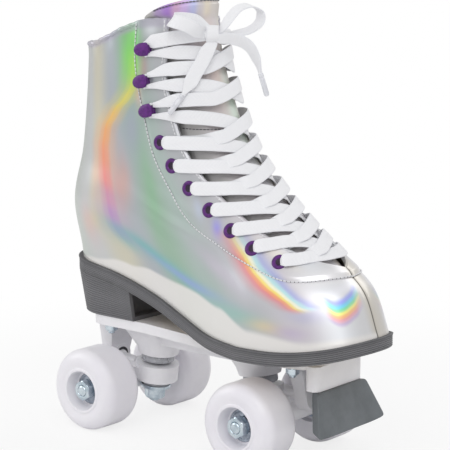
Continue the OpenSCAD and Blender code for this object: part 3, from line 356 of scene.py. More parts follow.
def laceFinish():
    mat, shader, wire, _, u, v = startFinish("flatLace")
    # herringbone braid: rows along the lace lean in from both edges
    lean = (u - 0.5).abs()
    row = ((v * 9.0 + lean * 4.0) * (2 * math.pi)).sine()
    rib = (u * (2 * math.pi * 12)).sine()
    braid = row * 0.6 + rib * 0.4
    shade = braid.over(-1, 1, 0.0, 1.0)
    colour = shade.ramp(hueStops([(0, (228, 229, 234)), (0.45, (243, 243, 246)), (1, (250, 250, 251))]))
    # painted shade along both edges of the lace
    edgeShade = lean.over(0.4, 0.49, 0, 0.3)
    colour = colour.tint((226, 228, 235), edgeShade)
    setShader(wire, shader, Base_Color=colour, Roughness=0.85, Sheen_Weight=0.25,
              Normal=bump(wire, braid, 0.3, 0.0003))
    return mat


def speckFinish(name, colour, shade, rough, spread, scale, relief, metal=0.0, coat=0.0, stretch=None, bore=None):
    # one finish for moulded, turned and cast pieces: a colour, a shade of it in soft specks, and a fine relief;
    # past bore, a length along the profile, an eyelet is painted near black for the shade down its hole
    mat, shader, wire, spot, _, v = startFinish(name)
    cloud = grain(wire, spot, scale, 4, 0.6, stretch)
    fleck = grain(wire, spot, scale * 14, 2)
    mixed = cloud.over(0.3, 0.75, 0, 0.8).ramp(hueStops([(0, colour), (1, shade)]))
    if bore:
        # painted shade: near black past bore, inside an eyelet's hole
        mixed = mixed.tint((34, 10, 42), v.over(bore - 0.03, bore + 0.03))
    setShader(wire, shader, Base_Color=mixed, Roughness=cloud * spread + rough, Metallic=metal, Coat_Weight=coat,
              Normal=bump(wire, fleck, relief, 0.0006))
    return mat


def soleFinish():
    # u runs down a wall, v counts its fine grooves; faces without grooves sit at half counts
    mat, shader, wire, spot, u, v = startFinish("greyRubber")
    cloud = grain(wire, spot, 60, 4)
    fleck = grain(wire, spot, 1500, 2)
    colour = u.ramp(hueStops([(0, (62, 62, 64)), (0.12, (92, 92, 95)), (0.5, (112, 112, 115)), (0.9, (98, 98, 101)),
                              (0.97, (150, 136, 112)), (1, (176, 158, 128))]))
    colour = colour.tint((126, 126, 129), cloud.over(0.4, 0.75, 0, 0.3))
    # painted shade in the fine grooves: a dark line at each whole count of v
    line = v.calc("PINGPONG", v, 0.5).over(0.02, 0.2, 0.65, 0)
    colour = colour.tint((62, 62, 65), line)
    setShader(wire, shader, Base_Color=colour, Roughness=cloud * 0.2 + 0.5, Normal=bump(wire, fleck, 0.12, 0.0004))
    return mat


def clothFinish(name, colour, shade, pitch):
    mat, shader, wire, spot, u, v = startFinish(name)
    x, y = (u * (2 * math.pi * pitch)).sine(), (v * (2 * math.pi * pitch)).sine()
    weave = x * y
    cloud = grain(wire, spot, 40, 4)
    tone = weave.over(-1, 1).ramp(hueStops([(0, shade), (1, colour)]))
    tone = tone.tint(shade, cloud.over(0.45, 0.8, 0, 0.5))
    setShader(wire, shader, Base_Color=tone, Roughness=0.9, Normal=bump(wire, weave, 0.3, 0.0004))
    return mat


def cushionFinish():
    mat, shader, wire, spot, *_ = startFinish("clearCushion")
    cloud = grain(wire, spot, 90, 3)
    colour = cloud.ramp(hueStops([(0.3, (176, 178, 184)), (0.7, (206, 207, 212))]))
    setShader(wire, shader, Base_Color=colour, Roughness=cloud * 0.15 + 0.2, Coat_Weight=0.3,
              Transmission_Weight=0.25)
    return mat


finishes = {
    # the far copy is the same foil with painted shade on it
    "foil": foilFinish("foilLeather", False), "foilFarShaded": foilFinish("foilLeatherFarShaded", True),
    "tongue": tongueFinish(), "lace": laceFinish(), "sole": soleFinish(), "cushion": cushionFinish(),
    "lining": clothFinish("liningCloth", (206, 206, 208), (158, 158, 162), 120),
    "insole": clothFinish("insoleBoard", (196, 178, 148), (156, 138, 108), 80),
    "thread": speckFinish("whiteThread", (236, 236, 238), (206, 206, 210), 0.6, 0.2, 600, 0.3),
    "hole": speckFinish("needleHoleShade", (60, 60, 64), (40, 40, 44), 0.7, 0.2, 300, 0.2),
    "darkThread": speckFinish("darkThread", (104, 104, 110), (78, 78, 84), 0.6, 0.2, 600, 0.3),
    "purple": speckFinish("purpleMetal", (98, 24, 126), (66, 10, 94), 0.3, 0.15, 500, 0.35, 0.4, 0.3),
    "eyelet": speckFinish("purpleEyeletHoleShade", (92, 22, 118), (62, 10, 88), 0.3, 0.15, 500, 0.35, 0.4, 0.3, bore=1.24),
    "nylon": speckFinish("whiteNylon", (238, 237, 240), (230, 229, 233), 0.34, 0.12, 70, 0.1),
    "wheel": speckFinish("whiteUrethane", (240, 238, 243), (233, 230, 238), 0.3, 0.1, 30, 0.05, 0.0, 0.12),
    "stop": speckFinish("stopRubber", (112, 117, 121), (96, 101, 105), 0.5, 0.2, 60, 0.2),
    "cup": speckFinish("cupRubber", (62, 62, 65), (48, 48, 50), 0.6, 0.2, 80, 0.25),
    "zinc": speckFinish("zincSteel", (222, 232, 238), (160, 180, 194), 0.14, 0.16, 160, 0.12, 1.0),
    "bearing": speckFinish("bearingSteel", (176, 184, 196), (112, 118, 130), 0.2, 0.16, 200, 0.1, 1.0),
    "aglet": speckFinish("clearAglet", (232, 233, 238), (206, 207, 214), 0.12, 0.1, 200, 0.05, 0.0, 0.6),
}
print("finishes made:", len(finishes))


# every new piece: grids of points in millimetres become one closed mesh
def addPiece(name, sheets, finish, slotName, stands=(), body="skate", sharp=38.0):
    points, faces, places, start = [], [], [], 0
    for sheet, uv in sheets:
        n, m = sheet.shape[:2]
        if uv is None:
            uv = np.stack(np.meshgrid(np.linspace(0, 1, m), np.linspace(0, 1, n)), -1)
        i = np.arange(n * m).reshape(n, m) + start
        faces.append(np.stack([i[:-1, :-1], i[:-1, 1:], i[1:, 1:], i[1:, :-1]], -1).reshape(-1, 4))
        points.append(sheet.reshape(-1, 3) * mm)
        places.append(uv.reshape(-1, 2))
        start += n * m
    points, faces, places = np.vstack(points), np.vstack(faces), np.vstack(places)
    mesh = bpy.data.meshes.new(name)
    mesh.vertices.add(len(points))
    mesh.vertices.foreach_set("co", points.ravel())
    mesh.loops.add(faces.size)
    mesh.loops.foreach_set("vertex_index", faces.ravel().astype(np.int32))
    mesh.polygons.add(len(faces))
    mesh.polygons.foreach_set("loop_start", np.arange(0, faces.size, 4, dtype=np.int32))
    mesh.update(calc_edges=True)
    layer = mesh.uv_layers.new(name="skin")
    layer.data.foreach_set("uv", places[faces.ravel()].ravel())
    return finishMesh(name, mesh, finish, stands, body, sharp)


def finishMesh(name, mesh, finish, stands, body, sharp):
    bm = bmesh.new()
    bm.from_mesh(mesh)
    bmesh.ops.remove_doubles(bm, verts=bm.verts, dist=4e-6)
    bmesh.ops.dissolve_degenerate(bm, edges=bm.edges, dist=1e-6)
    bmesh.ops.recalc_face_normals(bm, faces=bm.faces)
    bm.to_mesh(mesh)
    bm.free()
    mesh.polygons.foreach_set("use_smooth", np.ones(len(mesh.polygons), bool))
    mesh.set_sharp_from_angle(angle=math.radians(sharp))
    mesh.materials.append(finishes[finish])
    obj = bpy.data.objects.new(name, mesh)
    scene.collection.objects.link(obj)
    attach(obj, body)
    if stands:
        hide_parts(*stands)
    return obj


def shell(outer, inner, uv):  # two skins and the four rims between them
    sheets = [(outer, uv), (inner, uv)]
    for cut in [np.s_[0], np.s_[-1], np.s_[:, 0], np.s_[:, -1]]:
        sheets.append((np.stack([outer[cut], inner[cut]]), np.stack([uv[cut], uv[cut]])))
    return sheets


def grid(rows, cols):  # two parameters, each from 0 to 1
    return np.meshgrid(np.linspace(0, 1, rows), np.linspace(0, 1, cols), indexing="ij")


def capped(body, path, uv):  # a tube and the fans that close its two ends
    caps = [(np.stack([body[e], np.broadcast_to(path[e], body[e].shape)]), np.stack([uv[e], uv[e]])) for e in (0, -1)]
    return [(body, uv)] + caps


# a strip with a lens-shaped section: across is the face crossed with the path, the edge is a flattened oval
def ribbon(path, face, half, thick, facets=18, power=0.45):
    along = unit(np.gradient(path, axis=0))
    across = unit(np.cross(face, along))
    out = np.cross(along, across)
    q = np.linspace(0, 2 * np.pi, facets + 1)
    x, y = np.cos(q), np.sign(np.sin(q)) * np.abs(np.sin(q)) ** power
    half = np.broadcast_to(half, len(path))[:, None, None]
    thick = np.broadcast_to(thick, len(path))[:, None, None] / 2
    body = path[:, None] + x[None, :, None] * half * across[:, None] + y[None, :, None] * thick * out[:, None]
    run = arcLength(path) / 8
    uv = np.stack(np.broadcast_arrays((x[None] + 1) / 2, run[:, None]), -1)
    return capped(body, path, uv)


# a round section carried along a path, with its radius changing on the way
def cordTube(path, lift, radius, facets=8):
    along = unit(np.gradient(path, axis=0))
    across = unit(np.cross(lift, along))
    out = np.cross(along, across)
    q = np.linspace(0, 2 * np.pi, facets + 1)
    r = np.broadcast_to(radius, len(path))[:, None, None]
    ring = np.cos(q)[None, :, None] * across[:, None] + np.sin(q)[None, :, None] * out[:, None]
    body = path[:, None] + r * ring
    uv = np.stack(np.broadcast_arrays(q[None] / (2 * np.pi), arcLength(path)[:, None] / 10), -1)
    return capped(body, path, uv)


def shift(x, y, z):
    m = np.eye(4)
    m[:3, 3] = (x, y, z)
    return m


def axes(x, y, z, origin):
    m = np.eye(4)
    m[:3] = np.stack([x, y, z, origin], -1)
    return m


def placed(points, matrix):
    return points @ matrix[:3, :3].T + matrix[:3, 3]


# a profile of [radius, height] rows turned about the z axis of a frame
def lathe(profile, matrix, turns=64):
    p = np.asarray(profile, float)
    q = np.linspace(0, 2 * np.pi, turns + 1)
    spin = np.stack([np.cos(q), np.sin(q)], -1)
    high = np.broadcast_to(p[:, None, 1:], (len(p), turns + 1, 1))
    body = np.concatenate([p[:, None, :1] * spin[None], high], -1)
    uv = np.stack(np.broadcast_arrays(q[None] / (2 * np.pi), (arcLength(p) / 10)[:, None]), -1)
    return (placed(body, matrix), uv)


# a nut: the hexagon's radius against angle, cut by rings whose cap grows over the chamfer
def hexNut(flat, height, bore, matrix, turns=72):
    q = np.linspace(0, 2 * np.pi, turns + 1)
    flatR = flat / 2 / np.cos((q + np.pi / 6) % (np.pi / 3) - np.pi / 6)
    rows = [(bore / 2, 0.35), (bore / 2 + 0.35, 0), (flat * 0.465, 0), (flat * 0.5, 0.12), (flat * 0.55, 0.55),
            (flat * 0.6, 1.2), (flat * 0.6, height - 1.2), (flat * 0.55, height - 0.55), (flat * 0.5, height - 0.12),
            (flat * 0.465, height), (bore / 2 + 0.35, height), (bore / 2, height - 0.35), (bore / 2, 0.35)]
    cap = np.array(rows)
    r = np.minimum(flatR[None], cap[:, :1])
    body = np.stack([r * np.cos(q), r * np.sin(q), np.broadcast_to(cap[:, 1:], r.shape)], -1)
    return (placed(body, matrix), None)


# thread on a rod: the radius dips once a pitch along a helix
def threadRod(radius, foot, top, pitch, matrix, dip=0.06, taper=0.12, dome=0.8, turns=32):
    rows = int((top - foot) / pitch * 6) + 1
    z = np.linspace(foot, top, rows)
    q = np.linspace(0, 2 * np.pi, turns + 1)
    valley = np.abs((z[:, None] / pitch - q[None] / (2 * np.pi)) % 1 - 0.5) * 2
    end = np.minimum(z - foot, top - z)[:, None]
    r = radius - dip * radius * valley * ease(end) - taper * radius * (1 - ease(end / dome))
    body = np.stack([r * np.cos(q), r * np.sin(q), np.broadcast_to(z[:, None], r.shape)], -1)
    flatEnds = [np.stack([body[e], np.broadcast_to([0, 0, z[e]], body[e].shape)]) for e in (0, -1)]
    return [(placed(body, matrix), None)] + [(placed(e, matrix), None) for e in flatEnds]


# the boot's skin, from the same lines as the solids
boot = {
    "deckZ": 72.5, "heelX": -130.0, "toeX": 134.0, "soleT": 9.0, "heelRise": 38.0, "toeSpring": 13.0, "toeSwing": 8.0,
    "welt": 2.5, "shaftHalf": 33.5, "featherGap": 0.3, "ballX": 48,
    "flank": {"waist": 31, "more": 19, "x": -99, "run": 156, "power": 1.6},
    "swing": {"x": -18, "run": 143}, "toeRound": (77, 2.3), "heelRound": (31, 2.2),
    "collar": {"back": (-120.0, 198.5), "frontX": -10.0, "rise": 18.5, "x": -108, "run": 70},
    "ankle": {"bulge": 4.0, "top": 0.55, "x": -20, "run": 80}, "shaftB": 0.45, "toeBoxB": 0.3,
    "heelCurve": [[-130, 1], [-80, 0.8], [-38, 0.51], [-10, 0.26], [17, 0.06], [48, 0]],
    "toeCurve": [[48, 0], [82, 0.14], [112, 0.5], [136, 1]],
    "instep": [[118.5, 49], [92, 68], [66.5, 87.5], [43, 107], [21, 130.5], [7, 157.5], [-4, 187], [-10, 217.5]],
    "backline": [[-134, 85.5], [-127, 123.5], [-122.5, 162], [-120, 198.5]],
    "frontRound": [[0, 75], [0.08, 72], [0.18, 66], [0.3, 62], [0.45, 58], [0.6, 55], [0.8, 54], [1, 58]],
    "backRound": [[0, 31], [0.3, 46], [1, 54]],
    "facing": [[0.205, 1], [0.215, 0.965], [0.235, 0.93], [0.26, 0.897], [0.3, 0.85], [0.37, 0.8], [0.44, 0.765],
               [0.57, 0.708], [0.65, 0.69], [0.75, 0.683], [0.84, 0.683], [0.92, 0.703], [1, 0.72]],
    "eyeletLine": [[0.25, 0.81], [0.3, 0.755], [0.44, 0.68], [0.57, 0.62], [0.75, 0.588], [0.84, 0.588], [0.92, 0.61]],
    "rim": [[0.572, 1], [0.553, 0.9], [0.55, 0.8], [0.555, 0.7], [0.557, 0.58], [0.575, 0.47], [0.6, 0.38],
            [0.66, 0.31], [0.72, 0.25], [0.785, 0.195], [0.88, 0.18], [1, 0.172]],
    "facingB": [1, 0.92, 0.84, 0.75, 0.65, 0.57, 0.44, 0.37, 0.3, 0.26, 0.235, 0.205],
    "eyelets": [0.255, 0.305, 0.365, 0.435, 0.505, 0.575, 0.645], "hooks": [0.74, 0.825, 0.915], "throat": 0.205,
}


def soleRise(x):  # up to the heel behind the ball of the foot, and up to the toe before it
    return np.where(x < boot["ballX"], boot["heelRise"] * tableAt(boot["heelCurve"], x),
                    boot["toeSpring"] * tableAt(boot["toeCurve"], x))


def soleTop(x):
    return soleRise(x) + boot["soleT"]


def flank(x):  # half width before its ends are rounded, from the waist to the ball
    f = boot["flank"]
    return f["waist"] + f["more"] * ease(np.clip((x - f["x"]) / f["run"], 0, 1) ** f["power"])


def endRound(d, r, p):  # 0 at an end to 1 at a distance r from it, on an oval of power p
    return np.sqrt(np.maximum(0, 1 - np.clip(1 - d / r, 0, 1) ** p))


def swing(x):  # the toe turns in with the square of x
    return boot["toeSwing"] * (np.maximum(x - boot["swing"]["x"], 0) / boot["swing"]["run"]) ** 2


def soleX(a, d):  # cosine steps, closer at the ends
    return mix(boot["heelX"] + d, boot["toeX"] - d, (1 - np.cos(np.pi * a)) / 2)


def soleHalf(x, d):
    toe = endRound(boot["toeX"] - d - x, *boot["toeRound"])
    heelEnd = endRound(x - boot["heelX"] - d, *boot["heelRound"])
    return (flank(x) - d) * toe * heelEnd


def feather(x):  # the edge of the upper on the sole
    return np.stack([x, soleTop(x) + boot["featherGap"]], -1)


heelX, toeX = boot["heelX"] + boot["welt"], boot["toeX"] - boot["welt"]
instepLine = [feather(np.array(toeX))] + boot["instep"]
backLine = [feather(np.array(heelX))] + boot["backline"]


def collar(a):  # the top line, which rises towards the front in a smooth step
    c = boot["collar"]
    x = mix(c["back"][0], c["frontX"], a)
    return np.stack([x, c["back"][1] + c["rise"] * ease((x - c["x"]) / c["run"])], -1)


# place al runs from the back (0) to the instep (1), b from the sole (0) to the collar (1); past either end of al the
# other side follows. The side view is a Coons patch, the width a table rounded at both ends
def skin(al, b, side=right):
    al, b = np.broadcast_arrays(np.asarray(al, float), np.asarray(b, float))
    side = np.where((al > 1) | (al < 0), -side, side)
    al = np.where(al > 1, 2 - al, np.abs(al))
    a = (1 - np.cos(np.pi * al)) / 2
    fore, high = a[..., None], b[..., None]
    one, none = np.ones_like(a), np.zeros_like(a)
    back, instep = through(backLine, b), through(instepLine, b)
    p = ((1 - high) * feather(mix(heelX, toeX, a)) + high * collar(a) + (1 - fore) * back + fore * instep
         - (1 - fore) * (1 - high) * feather(heelX * one) - fore * (1 - high) * feather(toeX * one)
         - (1 - fore) * high * collar(none) - fore * high * collar(one))
    x = p[..., 0]
    ankle = boot["ankle"]
    bulge = ankle["bulge"] * np.sin(np.pi * np.clip(b / ankle["top"], 0, 1)) ** 2
    bulge = bulge * (1 - ease((x - ankle["x"]) / ankle["run"]))
    full = mix(boot["toeRound"][1], 2.0, np.minimum(b / boot["toeBoxB"], 1))
    half = ((mix(flank(x) - boot["welt"], boot["shaftHalf"], ease(b / boot["shaftB"])) + bulge)
            * endRound(instep[..., 0] - x, tableAt(boot["frontRound"], b), full)
            * endRound(x - back[..., 0], tableAt(boot["backRound"], b), boot["heelRound"][1]))
    return np.stack([x, side * half - swing(x), p[..., 1] + boot["deckZ"]], -1)


probe = 0.004


def skinOut(al, b, side=right):  # outward normal from small steps both ways
    along = skin(al + probe, b, side) - skin(al - probe, b, side)
    up = skin(al, np.minimum(b + probe, 1), side) - skin(al, np.maximum(b - probe, 0), side)
    return -side * unit(np.cross(along, up))


def skinOff(al, b, d, side=right):  # the skin moved out by d
    d = np.asarray(d, float)
    return skin(al, b, side) + d[..., None] * skinOut(al, b, side)


def facingAl(b):
    return np.where(b <= boot["throat"], 1.0, tableAt(boot["facing"], b))


def eyeletAl(b):
    return tableAt(boot["eyeletLine"], b)


# frame on the skin at an eyelet: x across, y up the facing, z out
def onSkin(b, side, d):
    al = np.array(eyeletAl(b))
    z = skinOut(al, np.array(b), side)
    up = skin(al, np.array(b + probe), side) - skin(al, np.array(b - probe), side)
    y = unit(up - (up @ z) * z)
    return axes(np.cross(y, z), y, z, skin(al, np.array(b), side) + d * z)


# bow: the routes are the solids' own, measured from the front of the collar
bow = {
    "origin": np.array([-10.0, 0, 290]), "knot": np.array([7.0, -12, -10]), "knotR": 6.5, "width": 9.5, "thick": 1.25,
    "loopRight": [[3.5, -18, -10], [3, -27.5, -6], [-1, -33, -2.8], [-6.5, -35, -1.5], [-11.5, -32.5, -1],
                  [-12, -28.8, -0.6], [-8, -25.3, -0.3], [-1.5, -21.5, -1.4], [3.1, -16.3, -5.2]],
    "loopLeft": [[13, -9.5, -6.5], [16, -6, 0], [20, -1.5, 6.5], [25, 4.5, 8.5], [29.5, 10, 4.5], [29, 10, -2.5],
                 [24.5, 5.5, -7.5], [17, 0, -10], [10.5, -6, -12]],
    "tailRight": [[8, -14, -16.5], [6, -16.5, -21.5], [4, -19.5, -28.5], [1.5, -23.5, -36], [-0.5, -27, -43],
                  [-3, -30.5, -49.5]],
    "tailLeft": [[13, -12.5, -13], [19, -9, -13], [24.5, -4, -14.5], [29, 0.5, -19], [32, 3.5, -27], [34, 5, -35.5]],
    "endRight": [-5, -6.5, -11], "endLeft": [2.5, 3, -13], "agletLen": 16.0, "agletR": 1.8, "sunk": 0.4,
    "loopRoot": 0.6, "tailRoot": 0.65, "tipHalf": 1.35, "tipThick": 2.4, "bunch": 12,
    # directions across the lace
    "edges": {"loopRight": [0.4, 0.5, 0.77], "loopLeft": [0.95, -0.2, -0.22], "tailRight": [0.74, 0.52, -0.42],
              "tailLeft": [0.41, -0.33, 0.85]},
}


# path through the knots, with the lace lying along its edge direction
def bowStrip(key, knots, half, thick, name, node):
    path = through(knots, np.linspace(0, 1, 100)) + bow["origin"]
    face = np.cross(unit(np.gradient(path, axis=0)), np.array(bow["edges"][key]))
    run = arcLength(path)
    piece = addPiece(name, ribbon(path, face, half(run), thick(run)), "lace", "lace_cloth", [node])
    return piece, path, float(run[-1])


def intoKnot(point):
    return mix(bow["knot"], np.array(point, float), bow["sunk"])


def bowLoop(key, name, node):
    route = np.array(bow[key], float)
    knots = np.vstack([intoKnot(route[0]), route, intoKnot(route[-1])])
    half = lambda run: bow["width"] / 2 * mix(bow["loopRoot"], 1, ease(np.minimum(run, run[-1] - run) / bow["bunch"]))
    piece, path, length = bowStrip(key, knots, half, lambda run: bow["thick"], name, node)
    tuple(path[0] * mm)
    length * mm
    [tuple(p) for p in path * mm]


def bowTail(key, name, run, node, agletNode):
    run = unit(np.array(run, float))
    route = np.array(bow[key], float)
    tip = route[-1]
    knots = np.vstack([intoKnot(route[0]), route, tip + np.outer((5.5, 11.0, bow["agletLen"]), run)])
    narrow = lambda at: ease((at[-1] - at - bow["agletLen"] + 1) / bow["bunch"])  # the lace bunches up into its tip
    half = lambda at: mix(bow["tipHalf"], bow["width"] / 2, narrow(at)) * mix(bow["tailRoot"], 1, ease(at / 11))
    thick = lambda at: mix(bow["tipThick"], bow["thick"], narrow(at))
    piece, path, length = bowStrip(key, knots, half, thick, name, node)
    x = unit(np.cross([0, 1.0, 0], run))
    m = axes(x, np.cross(run, x), run, tip + bow["origin"])
    r, n = bow["agletR"], bow["agletLen"]
    sleeve = [[0, 0.8], [r - 0.35, 0.6], [r - 0.1, 0.65], [r, 0.9], [r, 3], [r - 0.12, 3.2], [r - 0.12, 3.6], [r, 3.8],
              [r, n - 1.5], [r - 0.2, n - 0.4], [r - 0.7, n + 0.2], [0, n + 0.4]]
    aglet = addPiece(name + "Tip", [lathe(sleeve, m, 32)], "aglet", "aglet_plastic", [agletNode])
    tuple(path[0] * mm)
    length * mm
    [tuple(p) for p in path * mm]


for side, word, tag in sides:
    bowLoop("loop" + tag, "bowLoop" + tag, "lace_loop_" + word)
for side, word, tag in sides:
    bowTail("tail" + tag, "bowTail" + tag, bow["end" + tag], "lace_tail_" + word, "aglet_" + word)


# knot: one wrap of lace across the strands, round a bunched core; sizes along its x, y and axis
knot = {"axis": [0.75, 0.64, 0.12], "ring": (5.4, 5.0, 0.7), "half": 4.3, "pinch": 0.3, "thick": 1.6,
        "core": (4.7, 4.4, 6.2), "fold": 0.06}


def bowKnot():
    centre = bow["origin"] + bow["knot"]
    q = np.linspace(0, 2 * np.pi, 72)
    axis = unit(np.array(knot["axis"]))
    x = unit(np.cross([0, 0, 1.0], axis))
    y = np.cross(axis, x)
    c, s = np.cos(q)[:, None], np.sin(q)[:, None]
    rx, ry, rz = knot["ring"]
    ring = centre + rx * c * x + ry * s * y + rz * s * axis
    wrap = ribbon(ring, unit(ring - centre), knot["half"] + knot["pinch"] * np.sin(2 * q), knot["thick"])
    u, v = grid(24, 40)
    th, ph = np.pi * u, 2 * np.pi * v
    ball = np.stack([np.sin(th) * np.cos(ph), np.sin(th) * np.sin(ph), np.cos(th)], -1) * knot["core"]
    fold = (1 + knot["fold"] * np.sin(5 * ph + 3 * th))[..., None]
    core = centre + fold * (ball @ np.stack([x, y, axis]))
    addPiece("bowKnot", wrap + [(core, np.stack([v, u], -1))], "lace", "lace_cloth", ["lace_knot"])


bowKnot()
print("bow tied")


# upper: each half is a shell on the skin; puckers at the collar, a groove along the toe seam, soft creases at the ankle
upper = {"thick": 2.0, "rows": 170, "low": 50, "cols": 130, "closer": 1.25, "gap": 0.05, "tuck": 0.8,
         "pucker": 0.6, "puckers": 11.0, "puckerB": (0.93, 0.07), "uneven": 0.35,
         "groove": 0.55, "grooveAl": 0.006, "grooveTop": (0.19, 0.02),
         "crease": 0.25, "creases": 60, "creaseLean": 0.55, "creaseB": (0.4, 0.12), "creaseFrom": (0.4, 0.12),
         "creaseTo": (0.6, 0.1), "roll": 1.75, "rollB": 0.994, "rollSink": 0.9, "rollWave": 0.15, "rollWaves": 23}


def upperLift(al, b):
    wave = np.sin(2 * np.pi * (al * upper["puckers"] + upper["uneven"] * np.sin(7 * al)))
    pucker = upper["pucker"] * climb(b, *upper["puckerB"]) * wave
    groove = -upper["groove"] * bell(1 - al, upper["grooveAl"]) * (1 - climb(b, *upper["grooveTop"]))
    middle, width = upper["creaseB"]
    ankle = bell(b - middle, width) * climb(al, *upper["creaseFrom"]) * (1 - climb(al, *upper["creaseTo"]))
    return pucker + groove + upper["crease"] * ankle * np.sin(upper["creases"] * (b + upper["creaseLean"] * al))


def apart(points, side):  # the halves stand a hair apart at the toe seam
    points[..., 1] += side * upper["gap"]
    return points


def foilOf(side):
    return "foil" if side == right else "foilFarShaded"


def upperHalf(side, name, node):
    low = np.linspace(0, boot["throat"], upper["low"], endpoint=False)
    high = mix(boot["throat"], 1, np.linspace(0, 1, upper["rows"] - upper["low"]) ** upper["closer"])
    b = np.concatenate([low, high])[:, None]
    j = np.linspace(0, 1, upper["cols"])[None]
    al = facingAl(b) * (1 - j)
    b = np.broadcast_to(b, al.shape)
    outer = skinOff(al, b, upperLift(al, b), side)
    inner = skinOff(al, b, np.full(al.shape, -upper["thick"]) + upperLift(al, b), side)
    for g in (outer, inner):
        apart(g, side)[0, :, 2] -= upper["tuck"]  # on to the sole
    addPiece(name, shell(outer, inner, np.stack([al, b], -1)), foilOf(side), "foil_leather", [node])
    # rolled edge of the collar: a tube on the top edge that follows the puckers
    a = np.linspace(float(facingAl(np.array(1.0))), 0, 160)
    edgeB = np.full(a.shape, upper["rollB"])
    path = apart(skinOff(a, edgeB, upperLift(a, edgeB) - upper["rollSink"], side), side)
    radius = upper["roll"] + upper["rollWave"] * np.sin(2 * np.pi * a * upper["rollWaves"])
    tube = cordTube(path, skinOut(a, edgeB, side), radius, 14)
    uv = np.stack(np.broadcast_arrays(a[:, None], np.full((1, 15), 0.99)), -1)
    addPiece(name + "Collar", [(tube[0][0], uv)] + tube[1:], foilOf(side), "foil_leather")


for side, word, tag in sides:
    upperHalf(side, "upper" + tag, "upper_" + word)


# eyestay: a strip between the facing edge and its stitched rim, feathered out at the rim and rolled at the facing
eyestay = {"rows": 220, "cols": 40, "lift": 1.55, "rimLift": 0.12, "feather": 5.0, "margin": 0.048, "roll": 0.9,
           "rollR": 1.4, "sunk": 0.3}


def eyestayPlace(t, j):
    facingRow = np.stack([facingAl(np.array(boot["facingB"])), boot["facingB"]], -1)
    inner, outer = through(facingRow, t), through(boot["rim"], t)
    return mix(inner, outer, j[..., None])


def eyestayHalf(side, name, node):
    t, j = grid(eyestay["rows"], eyestay["cols"])
    place = eyestayPlace(t, j * (1 + eyestay["margin"]))
    al, b = np.minimum(place[..., 0], 1), np.clip(place[..., 1], 0, 1)
    flat = skin(al, b, side)
    fromRim = np.linalg.norm(flat - flat[:, -1:], axis=-1)
    fromEdge = np.linalg.norm(flat - flat[:, :1], axis=-1)
    lift = mix(eyestay["rimLift"], eyestay["lift"], ease(fromRim / eyestay["feather"]))
    lift = lift - eyestay["roll"] * (1 - ease(fromEdge / eyestay["rollR"]))
    outer = apart(skinOff(al, b, lift + upperLift(al, b), side), side)
    inner = apart(skinOff(al, b, upperLift(al, b) - eyestay["sunk"], side), side)
    addPiece(name, shell(outer, inner, np.stack([al, b], -1)), foilOf(side), "foil_leather", [node])


for side, word, tag in sides:
    eyestayHalf(side, "eyestay" + tag, "eyestay_" + word)


# stitching: a thread whose radius swells once a stitch and dives between, with needle holes in the gaps as dark dots of
# painted shade
seam = {"pitch": 2.7, "thread": 0.4, "core": 0.08, "long": 0.42, "lift": 0.15, "sink": 0.45, "steps": 12,
        "hole": 0.36, "holeCore": 0.05, "holeLong": 0.09, "holeSink": 0.7}


def stitchRow(name, path, out, thread="thread", holes=True, pitch=seam["pitch"], radius=seam["thread"]):
    run = arcLength(path)
    count = max(4, int(run[-1] / pitch))
    s = np.linspace(0, run[-1], count * seam["steps"] + 1)
    p = np.stack([np.interp(s, run, path[:, k]) for k in range(3)], -1)
    n = unit(np.stack([np.interp(s, run, out[:, k]) for k in range(3)], -1))
    phase = (s / run[-1] * count) % 1
    swell = np.sqrt(np.maximum(0, 1 - np.abs((phase - 0.5) / seam["long"]) ** 4))
    sink = (swell - 1) * seam["sink"] + seam["lift"]
    addPiece(name, cordTube(p + sink[:, None] * n, n, seam["core"] + radius * swell, 8), thread, "lace_cloth")
    if holes:
        # painted shade: a dark dot sunk at each gap for the needle hole
        gap = bell(np.minimum(phase, 1 - phase), seam["holeLong"])
        dots = cordTube(p + (gap[:, None] - 1) * n * seam["holeSink"], n, seam["holeCore"] + seam["hole"] * gap, 6)
        addPiece(name + "Holes", dots, "hole", "foil_leather")


def boardPath(knots, lift, side, steps=240):  # a line on the skin through [al, b] rows
    place = through(knots, np.linspace(0, 1, steps))
    al, b = np.minimum(place[:, 0], 1), np.clip(place[:, 1], 0, 0.995)
    out = skinOut(al, b, side)
    return apart(skin(al, b, side) + (lift + upperLift(al, b))[:, None] * out, side), out


facingInset = [[float(facingAl(np.array(b))) - 0.016, b] for b in boot["facingB"][:-2]]
throatLine = [[0.885, 0.232], [0.93, 0.216], [0.985, 0.199]]
for side, word, tag in sides:
    stitchRow("rimStitch" + tag, *boardPath(boot["rim"], 0.55, side))
    stitchRow("facingStitch" + tag, *boardPath(facingInset, 1.6, side), holes=False)
    stitchRow("throatStitch" + tag, *boardPath(throatLine, 0.5, side, 60), "darkThread", False)

# back strip: a raised band over the heel seam with a row of stitches down each edge
backstay = {"half": 0.03, "lift": 1.0, "rimLift": 0.15, "shoulder": 0.3, "groove": 0.5, "grooveJ": 0.07, "sunk": 0.3,
            "span": (0.005, 0.985), "stitch": 0.72, "stitchLift": 0.85, "stitchSpan": (0.02, 0.97)}


def backStrip():
    t, j = grid(140, 24)
    across = 2 * j - 1
    al, b = backstay["half"] * across, mix(*backstay["span"], t)
    crown = mix(backstay["rimLift"], backstay["lift"], ease((1 - np.abs(across)) / backstay["shoulder"]))
    crown = crown - backstay["groove"] * bell(across, backstay["grooveJ"])
    puck = upperLift(np.abs(al), b)
    outer, inner = skinOff(al, b, crown + puck), skinOff(al, b, puck - backstay["sunk"])
    addPiece("backStrip", shell(outer, inner, np.stack([np.abs(al), b], -1)), "foil", "foil_leather", ["backstay"])
    for s, tag in ((-1, "Left"), (1, "Right")):
        al, b = np.full(160, s * backstay["half"] * backstay["stitch"]), np.linspace(*backstay["stitchSpan"], 160)
        row = skinOff(al, b, backstay["stitchLift"] + upperLift(np.abs(al), b))
        stitchRow("backStitch" + tag, row, skinOut(al, b), holes=False)


backStrip()


